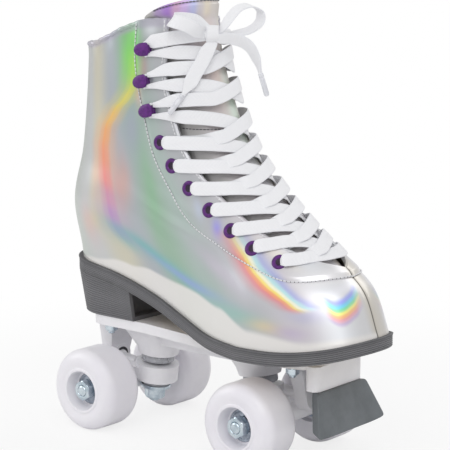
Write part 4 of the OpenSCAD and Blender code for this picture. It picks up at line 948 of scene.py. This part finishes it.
# lining: a cloth shell inside the quarters, padded below the collar
lining = {"outer": 2.3, "inner": 3.7, "pad": 0.8, "padB": 0.86, "padRun": 0.1, "foot": 0.2, "top": 0.988,
          "level": 0.25, "most": 0.8, "short": 0.03}


def liningShell():
    t, j = grid(60, 120)
    b = mix(lining["foot"], lining["top"], t)
    reach = np.minimum(eyeletAl(np.maximum(b, lining["level"])), lining["most"]) - lining["short"]
    al = (1 - 2 * j) * reach
    up = b - lining["padB"]
    swell = np.sin(np.pi * np.clip(up / (lining["top"] - lining["padB"]), 0, 1))
    pad = lining["pad"] * ease(up / lining["padRun"]) * swell
    puck = upperLift(np.abs(al), b)
    outer, inner = skinOff(al, b, puck - lining["outer"]), skinOff(al, b, puck - lining["inner"] - pad)
    addPiece("quarterLining", shell(outer, inner, np.stack([al * 2, b], -1)), "lining", "lining_cloth",
             ["quarter_lining"])


liningShell()

# tongue: a padded tab under the facings that stands above the collar, pinched at its stitched edge
tongue = {"rows": 120, "cols": 64, "thick": 4.5, "crown": 3.9, "drop": 6.8, "up": 15.0, "under": 0.05, "foot": 0.215,
          "flare": 0.1, "flareAt": (0.85, 0.25), "lean": 0.12, "edge": 0.16, "quilt": 0.5, "quiltAt": 0.12,
          "swell": 0.25, "stitch": 2.4, "topU": (-0.88, 0.88), "topAt": 0.84, "keeperU": (-0.86, 0.2),
          "keeperB": (0.696, 0.702)}
tongue["rise"] = tongue["up"] / (boot["instep"][-1][1] * 0.32)


def tonguePoint(s, u, d):  # past 1, s goes on above the collar
    b = np.minimum(s, 1)
    reach = 1 - facingAl(b) + tongue["under"] + tongue["flare"] * climb(s, *tongue["flareAt"])
    over = np.maximum(s - 1, 0) / tongue["rise"]
    p = skinOff(1 + u * reach, b, d - mix(tongue["crown"], tongue["drop"], u * u))
    return p + (over * tongue["up"] * (1 - 0.8 * np.abs(u) ** 2.6))[..., None] * np.array([tongue["lean"], 0, 1])


def tonguePad():
    t, j = grid(tongue["rows"], tongue["cols"])
    s, u = mix(tongue["foot"], 1 + tongue["rise"], t), 2 * j - 1
    edge = np.minimum(1 - np.abs(u), (1 - t) * 2.2)  # distance from the sewn edge
    full = np.sqrt(np.clip(edge / tongue["edge"], 0, 1))
    pinch = tongue["thick"] / 2 * (1 - full)
    quilt = tongue["quilt"] * bell(edge - tongue["quiltAt"], 0.02)
    outer = tonguePoint(s, u, tongue["swell"] * full - pinch - quilt)
    inner = tonguePoint(s, u, pinch - tongue["thick"] - 0.01)
    piece = addPiece("tonguePad", shell(outer, inner, np.stack([j, s / 1.2], -1)), "tongue", "foil_leather", ["tongue"])
    q = np.linspace(*tongue["topU"], 200)
    path = tonguePoint(np.full(q.shape, 1 + tongue["rise"] * tongue["topAt"]), q, np.full(q.shape, -0.3))
    out = unit(path - path.mean(0) + np.array([30.0, 0, 0]))
    stitchRow("tongueStitch", path, out, "darkThread", False, tongue["stitch"], 0.3)
    q, row = np.linspace(*tongue["keeperU"], 140), np.linspace(*tongue["keeperB"], 140)  # seen between the laces
    path = tonguePoint(row, q, np.full(q.shape, 0.16))
    stitchRow("keeperStitch", path, skinOut(1 + q * 0.3, row), "darkThread", False, tongue["stitch"], 0.24)


tonguePad()
print("upper sewn")


# sole: rows across a flat face from the right edge to the left, and a wall whose profile is [inset, drop] rows
sole = {"lines": 7, "cut": 0.35, "cutWide": 0.16, "round": 0.7, "bead": 0.35, "beadAt": (0.4, 1.5), "steps": 96}


def soleRing(a, d, drop, side):
    x = soleX(a, d)
    return np.stack([x, side * soleHalf(x, d) - swing(x), boot["deckZ"] + soleTop(x) - drop], -1)


def soleFace(d, drop, level=None):
    a, w = grid(sole["steps"], 13)
    p = mix(soleRing(a, d, drop, right), soleRing(a, d, drop, left), w[..., None])
    return (p, np.stack([a, w] if level is None else [np.full(a.shape, v) for v in (level, 0.5)], -1))


def grooves(t, wall):  # depth of the fine grooves down a wall
    wave = (t * wall["lines"]) % 1
    return wall["cut"] * bell(np.minimum(wave, 1 - wave), wall["cutWide"])


def outsole():
    drops = np.linspace(0, boot["soleT"], sole["lines"] * 8 + 1)
    inset = grooves(drops / boot["soleT"], sole)
    lip = np.maximum(sole["round"] - np.minimum(drops, boot["soleT"] - drops), 0)
    inset = np.maximum(inset, lip**2 / sole["round"] * 0.8)
    low, high = sole["beadAt"]  # bead under the feather edge
    inset = np.where((drops > low) & (drops < high), inset - sole["bead"], inset)
    a = np.linspace(0, 1, sole["steps"])
    sheets = [soleFace(inset[0], drops[0], 0.02), soleFace(inset[-1], drops[-1], 0.99)]
    for side in (right, left):
        wall = np.stack([soleRing(a, d, z, side) for d, z in zip(inset, drops)])
        down = np.broadcast_to((drops / boot["soleT"])[:, None], wall.shape[:2])
        sheets.append((wall, np.stack([mix(0.12, 0.88, down), down * sole["lines"]], -1)))
    addPiece("outsole", sheets, "sole", "sole_rubber", ["outsole"], sharp=50)


outsole()


insole = {"inset": 7.1, "levels": (-0.3, -1.2, -2.4, -3.3)}


def insoleBoard():
    edge, levels = insole["inset"], insole["levels"]
    sheets = [soleFace(edge, levels[0]), soleFace(edge, levels[-1])]
    a = np.linspace(0, 1, sole["steps"])
    for side in (right, left):
        sheets.append((np.stack([soleRing(a, edge, z, side) for z in levels]), None))
    addPiece("insoleBoard", sheets, "insole", "insole_board", ["insole"], sharp=50)


insoleBoard()

# heel block: the same outline drawn in towards its foot, with fine grooves round it and a flat breast
heel = {"front": -64.0, "taper": 4.0, "lines": 17, "cut": 0.4, "cutWide": 0.18, "seat": 5.0, "wall": 3.0,
        "pocket": 8.0, "gap": 0.1, "rim": 0.05, "corner": 0.006}


def heelRing(a, d, t, side):
    inset = d + heel["taper"] * (1 - t)
    x = mix(boot["heelX"] + inset, heel["front"], a**2)
    z = boot["deckZ"] + mix(heel["seat"] + heel["gap"], soleRise(x) - heel["gap"], t)
    return np.stack([x, side * soleHalf(x, inset), z], -1)


def heelBlock():
    t = np.linspace(0, 1, heel["lines"] * 8 + 1)
    cut = grooves(t, heel)
    a = np.linspace(0, 1, 60)
    rim, floor = heel["rim"], heel["rim"] + heel["corner"]  # thin walls either side of the pocket in the breast
    w = np.sort(np.concatenate([np.linspace(0, 1, 13), [rim, floor, 1 - floor, 1 - rim]]))[:, None]
    sheets = []
    for side in (right, left):
        wall = np.stack([heelRing(a, c, s, side) for c, s in zip(cut, t)])
        down = np.broadcast_to(t[:, None], wall.shape[:2])
        sheets.append((wall, np.stack([mix(0.75, 0.3, down), down * heel["lines"]], -1)))
    for k in (0, -1):
        nearRim, farRim = (heelRing(a, cut[k], t[k], s) for s in (right, left))
        face = mix(nearRim[:, None], farRim[:, None], w[None])
        sheets.append((face, np.full(face.shape[:2] + (2,), 0.5)))
    one = np.array(1.0)
    nearRim, farRim = (np.stack([heelRing(one, c, s, q) for c, s in zip(cut, t)]) for q in (right, left))
    breast = mix(nearRim[:, None], farRim[:, None], w[None])
    tall = breast[-1, 0, 2] - breast[0, 0, 2]
    inT = np.minimum(t, 1 - t)[:, None] * tall > heel["wall"]
    pocket = inT & (np.minimum(w, 1 - w).T > (rim + floor) / 2)
    breast[..., 0] -= heel["pocket"] * pocket
    # painted shade: the breast sits darker on the rubber's ramp than the walls, its pocket darkest
    sheets.append((breast, np.stack([np.where(pocket, 0.04, 0.2), np.full(breast.shape[:2], 0.5)], -1)))
    addPiece("heelBlock", sheets, "sole", "sole_rubber", ["heel_block"], sharp=50)


heelBlock()
print("sole laid")

# eyelets and hooks on the facings
trim = {"lift": 1.6, "bore": 2.6, "outer": 5.2}


# eyelet: a rolled rim on a tube, closed inside by a floor painted dark as the shade down the hole
def eyeletRow(side, name, node):
    r, b = trim["outer"], trim["bore"]
    ring = [[0, -4.0], [b + 0.5, -4.0], [b + 0.5, -0.2], [r - 0.1, -0.1], [r, 0.15], [r - 0.15, 0.5], [r - 0.7, 0.85],
            [r - 1.4, 1.0], [b + 0.7, 0.92], [b + 0.2, 0.6], [b, 0.35], [b - 0.3, 0.3], [0, 0.3]]
    sheets = [lathe(ring, onSkin(level, side, trim["lift"]), 40) for level in boot["eyelets"]]
    addPiece(name, sheets, "eyelet", "purple_metal", [node], sharp=50)


# hook: a foot, a bent neck on the throat side and a domed head over the lace; foot and head are turned, then drawn
# out at the back and squared off towards the throat
hook = {
    "neck": [[0.5, 0.5], [2.6, 0.5], [3.8, 1.2], [4.2, 2.8], [3.8, 4.4], [2.6, 5.1], [0.5, 5.1]],
    "foot": [[0, 1.0], [3.6, 0.95], [4.3, 0.7], [4.5, 0.3], [4.4, 0], [0, 0]],
    "head": [[0, 6.1], [1.8, 6.0], [3.4, 5.75], [4.4, 5.35], [4.75, 4.95], [4.6, 4.65], [4.2, 4.55], [0, 4.55]],
    "turn": [[4.5, -3.8], [1.5, -3.5], [-1.0, -2.2], [-1.7, 0], [-1.0, 2.2], [1.5, 3.5], [4.5, 3.8]],
    "turnZ": 2.75, "turnHalf": 1.5, "turnThick": 1.5,  # of the lace behind the neck
    "half": 2.6, "thick": 1.0, "ahead": 1.03, "behind": 1.35, "tall": 0.95, "power": 6,
}


def hookRow(side, name, node):
    flip = 1 if side == right else -1
    p = through(hook["neck"], np.linspace(0, 1, 40))
    path = np.stack([p[:, 0] * flip, np.zeros(40), p[:, 1]], -1)
    face = np.cross(np.array([0, 1.0, 0]), unit(np.gradient(path, axis=0)))
    sheets = []
    for level in boot["hooks"]:
        m = onSkin(level, side, trim["lift"])
        sheets += [(placed(g, m), uv) for g, uv in ribbon(path, face, hook["half"], hook["thick"], 20, 0.35)]
        for rows in (hook["foot"], hook["head"]):
            g, uv = lathe(rows, np.eye(4), 64)
            turn = np.arctan2(g[..., 1], g[..., 0] * flip)
            square = (np.cos(turn) ** hook["power"] + np.sin(turn) ** hook["power"]) ** (-1 / hook["power"])
            ahead = g[..., 0] * flip > 0
            g[..., 0] *= np.where(ahead, hook["ahead"] * square, hook["behind"])
            g[..., 1] *= hook["tall"] * np.where(ahead, square, 1)
            sheets.append((placed(g, m), uv))
    addPiece(name, sheets, "purple", "purple_metal", [node])


for side, word, tag in sides:
    eyeletRow(side, "eyelets" + tag, "eyelets_" + word)
    hookRow(side, "hooks" + tag, "hooks_" + word)

# lacing: each run comes out of an eyelet or from under a hook, crosses the throat and goes down under the other facing
# a level below, or over its hook. Heights over the skin, widths and rises are smooth steps along the run
lacing = {"over": 3.45, "flat": 2.3, "under": -3.6, "low": 0.8, "high": 2.6, "steps": 72, "thick": 1.25, "end": 0.97,
          "hookB": 0.016, "hookRise": 0.011, "hookHalf": 0.3, "eyeletHalf": 0.5, "fold": 3.0, "foldRun": 0.03,
          "pull": 0.024, "stopB": 0.955,
          # steps along a run: a start and a length
          "settle": (0.05, 0.1), "cross": (0.2, 0.24), "dive": (0.52, 0.16), "diveHigh": (0.69, 0.16),
          "toHook": (0.62, 0.25), "arch": (0, 0.62), "archHigh": (0.1, 0.56)}


def acrossAl(s, b):
    return s * (1 - eyeletAl(np.array(b)))


def laceRun(s, b0, b1, lift, tucked):
    t = np.linspace(0, lacing["end"], lacing["steps"])
    fromHook, toHook = (b >= boot["hooks"][0] for b in (b0, b1))
    upperRun = lift > lacing["low"]
    w = mix(acrossAl(s, b0), acrossAl(-s, b1), t)
    b = mix(b0 - lacing["hookB"] * fromHook, b1 + lacing["hookB"] * toHook, t)
    flat = mix(lacing["over"], lacing["flat"], climb(t, *lacing["settle"]))  # down on the facing past the eyelet
    start = mix(flat, lift, climb(t, *lacing["cross"]))
    if tucked:
        tail = mix(lift, lacing["under"], climb(t, *lacing["diveHigh" if upperRun else "dive"]))
    else:
        tail = mix(lift, lacing["over"], climb(t, *lacing["toHook"]))
    off = np.where(t < 0.5, start, tail)
    half = np.full(t.shape, bow["width"] / 2)
    narrow, reach = (lacing["hookHalf"], 0.19) if fromHook else (lacing["eyeletHalf"], 0.045)
    half *= mix(narrow, 1, ease(t / reach))
    if not tucked:
        narrow, reach = (lacing["hookHalf"], 0.17) if toHook else (lacing["eyeletHalf"], 0.05)
        half *= mix(narrow, 1, ease((1 - t) / reach))
    if not fromHook:
        off = off - lacing["fold"] * (1 - ease(t / lacing["foldRun"]))  # folds down into its eyelet
    if not (tucked or toHook):
        off = off - lacing["fold"] * (1 - ease((lacing["end"] - t) / lacing["foldRun"]))
    first, run = lacing["archHigh" if upperRun else "arch"]
    arch = np.sin(np.pi * np.clip((t - first) / run, 0, 1))
    b = b + lacing["pull"] * arch * (b0 != b1)  # pulled up a little between its ends
    steep = ease((lacing["end"] - t) / 0.12) * (1 - ease((0.8 - t) / 0.25))
    b = b + lacing["hookRise"] * toHook * steep  # rises steeply off a hook
    return ribbon(skinOff(1 + w, b, off), skinOut(1 + w, b), half, lacing["thick"])


def knotStrand(s, middle):  # from the top hook over the tongue to the knot
    b0 = boot["hooks"][-1] + lacing["hookB"]
    t = np.linspace(0, 1, lacing["steps"])
    al, b = 1 + mix(acrossAl(s, boot["hooks"][-1]), middle, t), mix(b0, lacing["stopB"], t)
    centre = bow["origin"] + bow["knot"]
    meet = skinOff(np.array(1 + middle), np.array(lacing["stopB"]), np.array(lacing["over"])) - centre
    seat = centre + (bow["knotR"] - 1.5) * unit(meet)
    path = mix(skinOff(al, b, np.full(t.shape, lacing["over"])), seat, ease((t - 0.5) / 0.5)[:, None])
    half = bow["width"] / 2 * mix(lacing["hookHalf"], 1, ease(t / 0.22))
    return ribbon(path, skinOut(al, b), half, lacing["thick"])


def hookTurn(level, side):  # the lace on edge behind a hook's neck
    flip = 1 if side == right else -1
    p = through(hook["turn"], np.linspace(0, 1, 40))
    path = np.stack([p[:, 0] * flip, p[:, 1], np.full(40, hook["turnZ"])], -1)
    face = np.cross(np.array([0, 0, 1.0]), unit(np.gradient(path, axis=0)))
    m = onSkin(level, side, trim["lift"])
    return [(placed(g, m), uv) for g, uv in ribbon(path, face, hook["turnHalf"], hook["turnThick"])]


def laceUp():
    levels = boot["eyelets"] + boot["hooks"]
    sheets = laceRun(right, levels[0], levels[0], lacing["low"], False)
    for i in range(len(levels) - 1):
        tucked = i < len(boot["eyelets"])
        sheets += laceRun(right, levels[i + 1], levels[i], lacing["low"], tucked)
        sheets += laceRun(left, levels[i + 1], levels[i], lacing["high"], tucked)
    sheets += knotStrand(right, -0.2) + knotStrand(left, -0.02)
    plug = [[0, -3.2], [1.4, -3.3], [2.2, -3.6], [2.3, -4.0], [2.3, -5.0], [0, -5.2]]  # the lace behind an eyelet
    for side in (right, left):
        sheets += [lathe(plug, onSkin(level, side, trim["lift"]), 24) for level in boot["eyelets"]]
        for level in boot["hooks"]:
            sheets += hookTurn(level, side)
    addPiece("laceRuns", sheets, "lace", "lace_cloth", ["lacing"])


laceUp()
print("laced")


# frames on the chassis
chassis = {"midX": -18, "halfBase": 70, "axleZ": 29, "kingpin": (21.5, 0, 8), "kingpinLean": 7.2, "outerY": 47.25,
           "innerY": 27.25, "tubeY": 22.5, "bearing": 7, "wheelY": 39.75, "bore": 4.1, "coneAngle": 8.5,
           "washer": 1.2, "locknutZ": -20.5,
           # radius, foot, top and pitch of a rod; flats, height and bore of a nut
           "kingpinRod": (3.95, -22.5, 27.5, 1.25), "axleNut": (13, 6.5, 8.0), "locknut": (13, 8, 8.0)}


def turnY(degrees):
    c, s = math.cos(math.radians(degrees)), math.sin(math.radians(degrees))
    return np.array([[c, 0, s, 0], [0, 1, 0, 0], [-s, 0, c, 0], [0, 0, 0, 1.0]])


def atAxle(end):
    place = shift(chassis["midX"] + end * chassis["halfBase"], 0, chassis["axleZ"])
    return place @ np.diag([-1.0 if end == front else 1.0, 1, 1, 1])


def atKingpin(end):
    return atAxle(end) @ shift(*chassis["kingpin"]) @ turnY(chassis["kingpinLean"])


def outward(side):  # z out along the axle
    return np.array([[1, 0, 0, 0], [0, 0, side, 0], [0, -side, 0, 0], [0, 0, 0, 1.0]])


def onAxle(end, side):
    return atAxle(end) @ outward(side)


# a CAD piece whose shape is right: a merged copy with its flat faces joined and its edges rounded
def softened(name, node, finish, body, width=0.9, segments=3):
    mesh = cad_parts[node].data.copy()
    mesh.materials.clear()
    bm = bmesh.new()
    bm.from_mesh(mesh)
    bmesh.ops.remove_doubles(bm, verts=bm.verts, dist=2e-5)
    bmesh.ops.dissolve_limit(bm, angle_limit=math.radians(0.6), verts=bm.verts, edges=bm.edges)
    bm.to_mesh(mesh)
    bm.free()
    obj = finishMesh(name, mesh, finish, [node], body, 30)
    bevel = obj.modifiers.new("edges", "BEVEL")
    bevel.width, bevel.segments, bevel.limit_method = width * mm, segments, "ANGLE"
    bevel.angle_limit, bevel.use_clamp_overlap, bevel.harden_normals = math.radians(32), True, True


softened("plate", "plate", "nylon", "skate")
for end, word in ends:
    softened(word + "Hanger", "hanger_" + word, "nylon", word + "_truck")

# toe stop: a ball squared off by a small power, then drawn into a leaning wedge
stop = {"x": 98.0, "thick": 12.0, "lean": 9.0, "seat": 54.0, "gap": 0.1, "high": 27.0, "wTop": 54.0, "wFoot": 76.0,
        "taper": 9.0, "power": 0.12, "belly": 1.0, "boltX": 92, "bolt": (-14.1, 8.9), "boltHead": -20.1}


def toeStop():
    u, v = grid(80, 160)
    th, ph = np.pi * (u - 0.5), 2 * np.pi * (v + 0.5)

    def square(c):
        return np.sign(c) * np.abs(c) ** stop["power"]

    x, y, z = square(np.cos(th)) * square(np.cos(ph)), square(np.cos(th)) * square(np.sin(ph)), square(np.sin(th))
    t = (1 - z) / 2  # 0 at the top
    deep = (1 - x) / 2  # 0 on the front face
    half = mix(stop["wTop"], stop["wFoot"], t) / 2 - stop["taper"] * deep
    down = mix(stop["seat"] - stop["gap"], stop["seat"] - stop["high"], t) - stop["belly"] * (1 - y**2) * t**6
    p = np.stack([stop["x"] + stop["lean"] * t - stop["thick"] * deep, half * y, down], -1)
    addPiece("toeStop", [(p, None)], "stop", "stop_rubber", ["toe_stop"], sharp=60)


toeStop()


# trucks, from the axle out and the kingpin down
def pairSheets(make):
    return [sheet for end in (rear, front) for sheet in make(end)]


def sleeve(z0, z1):  # a washer or spacer with rounded rims
    r = chassis["bore"]
    return [[r, z0], [5.6, z0], [5.75, z0 + 0.2], [5.75, z1 - 0.2], [5.6, z1], [r, z1], [r, z0]]


def innerRace(z0):
    r, z1 = chassis["bore"], z0 + chassis["bearing"]
    return [[r, z0 + 0.3], [4.4, z0], [5.8, z0], [6.0, z0 + 0.25], [6.0, z1 - 0.25], [5.8, z1], [4.4, z1],
            [r, z1 - 0.3], [r, z0 + 0.3]]


def axleHalf():  # a rod with a thread at its end, a dip a millimetre
    thread = [row for k in range(5) for row in ([3.95, 48.6 + k], [3.7, 49.2 + k])]
    tip = [[3.95, 53.6], [3.9, 54.6], [3.5, 55.3], [2.4, 55.75], [1.2, 55.9], [0, 55.95]]
    return [[3.95, 0], [3.95, 48], [3.7, 48.3]] + thread + tip


def cushions():  # each fits the cone of the hanger's ring on one side
    r, slope = chassis["bore"], math.tan(math.radians(chassis["coneAngle"]))
    above = [[r, 6.35 + r * slope], [10.3, 6.35 + 10.3 * slope], [11.3, 6.5 + 11.3 * slope], [11.9, 8.8], [12.05, 10.4],
             [11.9, 12.2], [11.3, 13.4], [10.4, 13.95], [r, 13.95], [r, 6.35 + r * slope]]
    below = [[r, -10.95], [9.2, -10.95], [9.8, -10.5], [10.0, -9.4], [9.9, -8.4], [9.5, -6.4 - 9.5 * slope],
             [r, -6.4 - r * slope], [r, -10.95]]
    return above, below


def truck(end, word):
    body, k, zinc = word + "_truck", atKingpin(end), ("zinc", "zinc_steel")
    addPiece(word + "Kingpin", threadRod(*chassis["kingpinRod"], k), *zinc, ["kingpin_" + word], "skate")
    for tag, node, rows in zip(("UpperCushion", "LowerCushion"), ("upper_cushion_", "lower_cushion_"), cushions()):
        addPiece(word + tag, [lathe(rows, k)], "cushion", "cushion_rubber", [node + word], sharp=50)
    hubs = [onAxle(end, side) for side in (right, left)]
    oy, iy, rim = chassis["outerY"], chassis["innerY"], chassis["outerY"] + chassis["washer"]
    addPiece(word + "Axle", [lathe(axleHalf(), m, 40) for m in hubs], *zinc, ["axle_" + word], body, 50)
    nuts = [hexNut(*chassis["axleNut"], m @ shift(0, 0, rim)) for m in hubs]
    washers = [lathe(sleeve(oy, rim), m, 40) for m in hubs]
    spacers = [lathe(sleeve(chassis["tubeY"], iy), m, 40) for m in hubs]
    races = [lathe(innerRace(z0), m, 48) for m in hubs for z0 in (iy, oy - chassis["bearing"])]
    addPiece(word + "AxleNuts", nuts, *zinc, ["axle_nuts_" + word], body, 25)
    addPiece(word + "AxleWashers", washers, *zinc, ["axle_washers_" + word], body)
    addPiece(word + "AxleSpacers", spacers, *zinc, ["axle_spacers_" + word], body)
    addPiece(word + "InnerRaces", races, "bearing", "bearing_steel", ["inner_races_" + word], body)
    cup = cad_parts["pivot_cup_" + word].data
    cup.materials.clear()
    cup.materials.append(finishes["cup"])


for end, word in ends:
    truck(end, word)
locknuts = pairSheets(lambda e: [hexNut(*chassis["locknut"], atKingpin(e) @ shift(0, 0, chassis["locknutZ"]))])
addPiece("kingpinNuts", locknuts, "zinc", "zinc_steel", ["kingpin_nuts"], sharp=25)
dish = [[4.1, -12.5], [10.2, -12.5], [10.9, -12.2], [11.3, -11.6], [11.3, -9.8], [11.1, -9.6], [10.7, -9.6],
        [10.4, -9.9], [10.4, -10.8], [10.2, -11.0], [4.1, -11.0], [4.1, -12.5]]
addPiece("cupWashers", pairSheets(lambda e: [lathe(dish, atKingpin(e))]), "zinc", "zinc_steel", ["cup_washers"])

# bolts through the sole, with their nuts under the plate
bolts = {"x": (-92.0, 72.0), "y": (-20.0, 20.0), "deck": 7.0, "nutH": 4.5, "headR": 4.5, "plateBack": 8.0,
         "inside": 3.7, "r": 2.45, "pitch": 0.8, "past": 6.5}


def boltSet():
    rods, nuts = [], []
    for x in bolts["x"]:
        seat = heel["seat"] if x < 0 else float(soleRise(np.array(x - bolts["plateBack"]))) - heel["gap"]
        under = seat - bolts["deck"]
        head = float(soleTop(np.array([x - bolts["headR"], x + bolts["headR"]])).max()) + bolts["inside"]
        for y in bolts["y"]:
            m = shift(x, y, boot["deckZ"])
            rods += threadRod(bolts["r"], under - bolts["past"], head + 0.2, bolts["pitch"], m)
            rods.append(lathe([[0, head], [4.3, head], [4.5, head + 0.3], [4.2, head + 1.2], [3.2, head + 2.0],
                               [1.8, head + 2.35], [0, head + 2.4]], m, 32))
            nuts.append(hexNut(8, bolts["nutH"], 5.0, m @ shift(0, 0, under - bolts["nutH"] - 0.1)))
    addPiece("mountingBolts", rods, "zinc", "zinc_steel", ["mounting_bolts"])
    addPiece("mountingNuts", nuts, "zinc", "zinc_steel", ["mounting_nuts"], sharp=25)


boltSet()


def stopBolt():
    lean = math.degrees(math.atan2(stop["lean"], stop["high"]))
    m = shift(stop["boltX"], 0, stop["seat"]) @ turnY(-lean)
    shank = threadRod(2.95, *stop["bolt"], 1.0, m)
    top, foot = stop["bolt"][0], stop["boltHead"]
    head = [[0, foot + 2.5], [2.4, foot + 2.5], [2.5, foot + 0.2], [2.8, foot], [4.7, foot], [5.1, foot + 0.5],
            [5.1, top - 0.3], [4.8, top], [0, top]]
    addPiece("toeStopBolt", shank + [lathe(head, m, 36)], "zinc", "zinc_steel", ["toe_stop_bolt"])


stopBolt()

# wheels: the profile runs from the outer face over the tread to the inner face and back through the hub
wheel = {"r": 29.0, "half": 16.5, "shoulder": 8.0, "inner": 4.0, "outer": 9.0, "bore": 11.03, "hub": 9}


def wheelProfile():
    r, h, c = wheel["r"], wheel["half"], wheel["shoulder"]
    q = np.linspace(0, np.pi / 2, 14)
    shoulder = np.stack([r - c + c * np.sin(q), h - c + c * np.cos(q)], -1)
    tread = np.stack([r + 0 * q, mix(h - c, c - h, np.linspace(0, 1, 14))], -1)[1:-1]
    under = shoulder[::-1] * np.array([1, -1])
    near, far, k = wheel["inner"] - h, h - wheel["outer"], chassis["bearing"]
    bore, hub = wheel["bore"], wheel["hub"]
    core = [[15.4, -h], [13.4, -h + 0.2], [12.4, near - 0.3], [12, near], [bore, near], [bore, near + k],
            [hub, near + k], [hub, far - k], [bore, far - k], [bore, far], [12, far], [12.35, far + 0.5],
            [13.7, h - 1.4], [14.1, h - 0.2], [14.7, h], [15.6, h - 0.05], [16.2, h - 0.5], [17.0, h - 0.55],
            [18.2, h - 0.2], [shoulder[0][0], h]]
    return np.vstack([shoulder, tread, under, core])


def bearingProfile(z0):  # the outer ring, with a shield on either face
    z1 = z0 + chassis["bearing"]
    return [[9.3, z0 + 0.25], [9.6, z0], [10.7, z0], [10.98, z0 + 0.3], [10.98, z1 - 0.3], [10.7, z1], [9.6, z1],
            [9.3, z1 - 0.25], [9.15, z1 - 0.5], [8.6, z1 - 0.65], [6.9, z1 - 0.65], [6.3, z1 - 0.5], [6.2, z1 - 0.7],
            [6.2, z0 + 0.7], [6.3, z0 + 0.5], [6.9, z0 + 0.65], [8.6, z0 + 0.65], [9.15, z0 + 0.5], [9.3, z0 + 0.25]]


bearingAt = [y - chassis["wheelY"] for y in (chassis["innerY"], chassis["outerY"] - chassis["bearing"])]
for end, word in ends:
    for side, hand, tag in sides:
        body, m = word + "_" + hand + "_wheel", onAxle(end, side) @ shift(0, 0, chassis["wheelY"])
        addPiece(word + tag + "Wheel", [lathe(wheelProfile(), m, 128)], "wheel", "wheel_urethane",
                 ["wheel_" + word + "_" + hand], body, 32)
        addPiece(word + tag + "Bearings", [lathe(bearingProfile(z0), m, 64) for z0 in bearingAt], "bearing",
                 "bearing_steel", ["bearings_" + word + "_" + hand], body, 40)
print("chassis built")


# studio: white ground that keeps the shadow, soft light from above and both sides
light = {"floor": 0.9, "ground": 60, "veil": (0.2, 0.5, 0.78, 1.0), "world": 0.62, "glossy": 0.35, "aim": (0, 0, 0.15),
         # place, size and power of each lamp
         "lamps": [((0.9, -1.3, 1.5), 1.5, 13.0), ((-1.5, -0.9, 0.9), 1.0, 6.0), ((0.4, 1.4, 1.3), 1.2, 6.0)]}


def studio():
    mat = bpy.data.materials.new("floorPaper")
    mat.use_nodes = True
    tree = mat.node_tree
    wire = Wire(tree)
    shader = tree.nodes["Principled BSDF"]
    setShader(wire, shader, Base_Color=(light["floor"],) * 3 + (1,), Roughness=0.9)
    glow = wire.make("ShaderNodeEmission", sockets={0: (1, 1, 1, 1), 1: 1.0})
    seen = wire.make("ShaderNodeLightPath")
    place = wire.make("ShaderNodeNewGeometry")
    away = wire.make("ShaderNodeVectorMath", {"operation": "LENGTH"}, {0: place}, 1)
    veil = seen * away.over(*light["veil"])  # clear white ground away from the skate
    blend = wire.make("ShaderNodeMixShader", sockets={0: veil, 1: Wire(tree, shader.outputs[0]), 2: glow})
    tree.links.new(blend.socket, tree.nodes["Material Output"].inputs[0])
    mesh = bpy.data.meshes.new("floor")
    g = light["ground"]
    mesh.from_pydata([(-g, -g, 0), (g, -g, 0), (g, g, 0), (-g, g, 0)], [], [(0, 1, 2, 3)])
    mesh.materials.append(mat)
    floor = bpy.data.objects.new("floor", mesh)
    scene.collection.objects.link(floor)
    sky = bpy.data.worlds.new("studio")
    scene.world = sky
    sky.use_nodes = True
    wire = Wire(sky.node_tree)
    seen = wire.make("ShaderNodeLightPath")
    shade = wire.make("ShaderNodeBackground", sockets={0: (1, 1, 1, 1), 1: light["world"]})
    white = wire.make("ShaderNodeBackground", sockets={0: (1, 1, 1, 1), 1: 1.0})
    glossy = Wire(sky.node_tree, seen.socket.node.outputs["Is Glossy Ray"])
    clear = Wire(sky.node_tree, seen.socket.node.outputs["Is Transmission Ray"])
    pick = seen + glossy * light["glossy"] + clear
    blend = wire.make("ShaderNodeMixShader", sockets={0: pick, 1: shade, 2: white})
    sky.node_tree.links.new(blend.socket, sky.node_tree.nodes["World Output"].inputs[0])
    for i, (spot, size, power) in enumerate(light["lamps"]):
        lamp = bpy.data.lights.new("softbox%d" % i, "AREA")
        lamp.size, lamp.energy = size, power
        obj = bpy.data.objects.new("softbox%d" % i, lamp)
        toward = Vector(light["aim"]) - Vector(spot)
        obj.matrix_world = Matrix.Translation(spot) @ toward.to_track_quat("-Z", "Y").to_matrix().to_4x4()
        scene.collection.objects.link(obj)
    scene.view_settings.view_transform = "Standard"


studio()
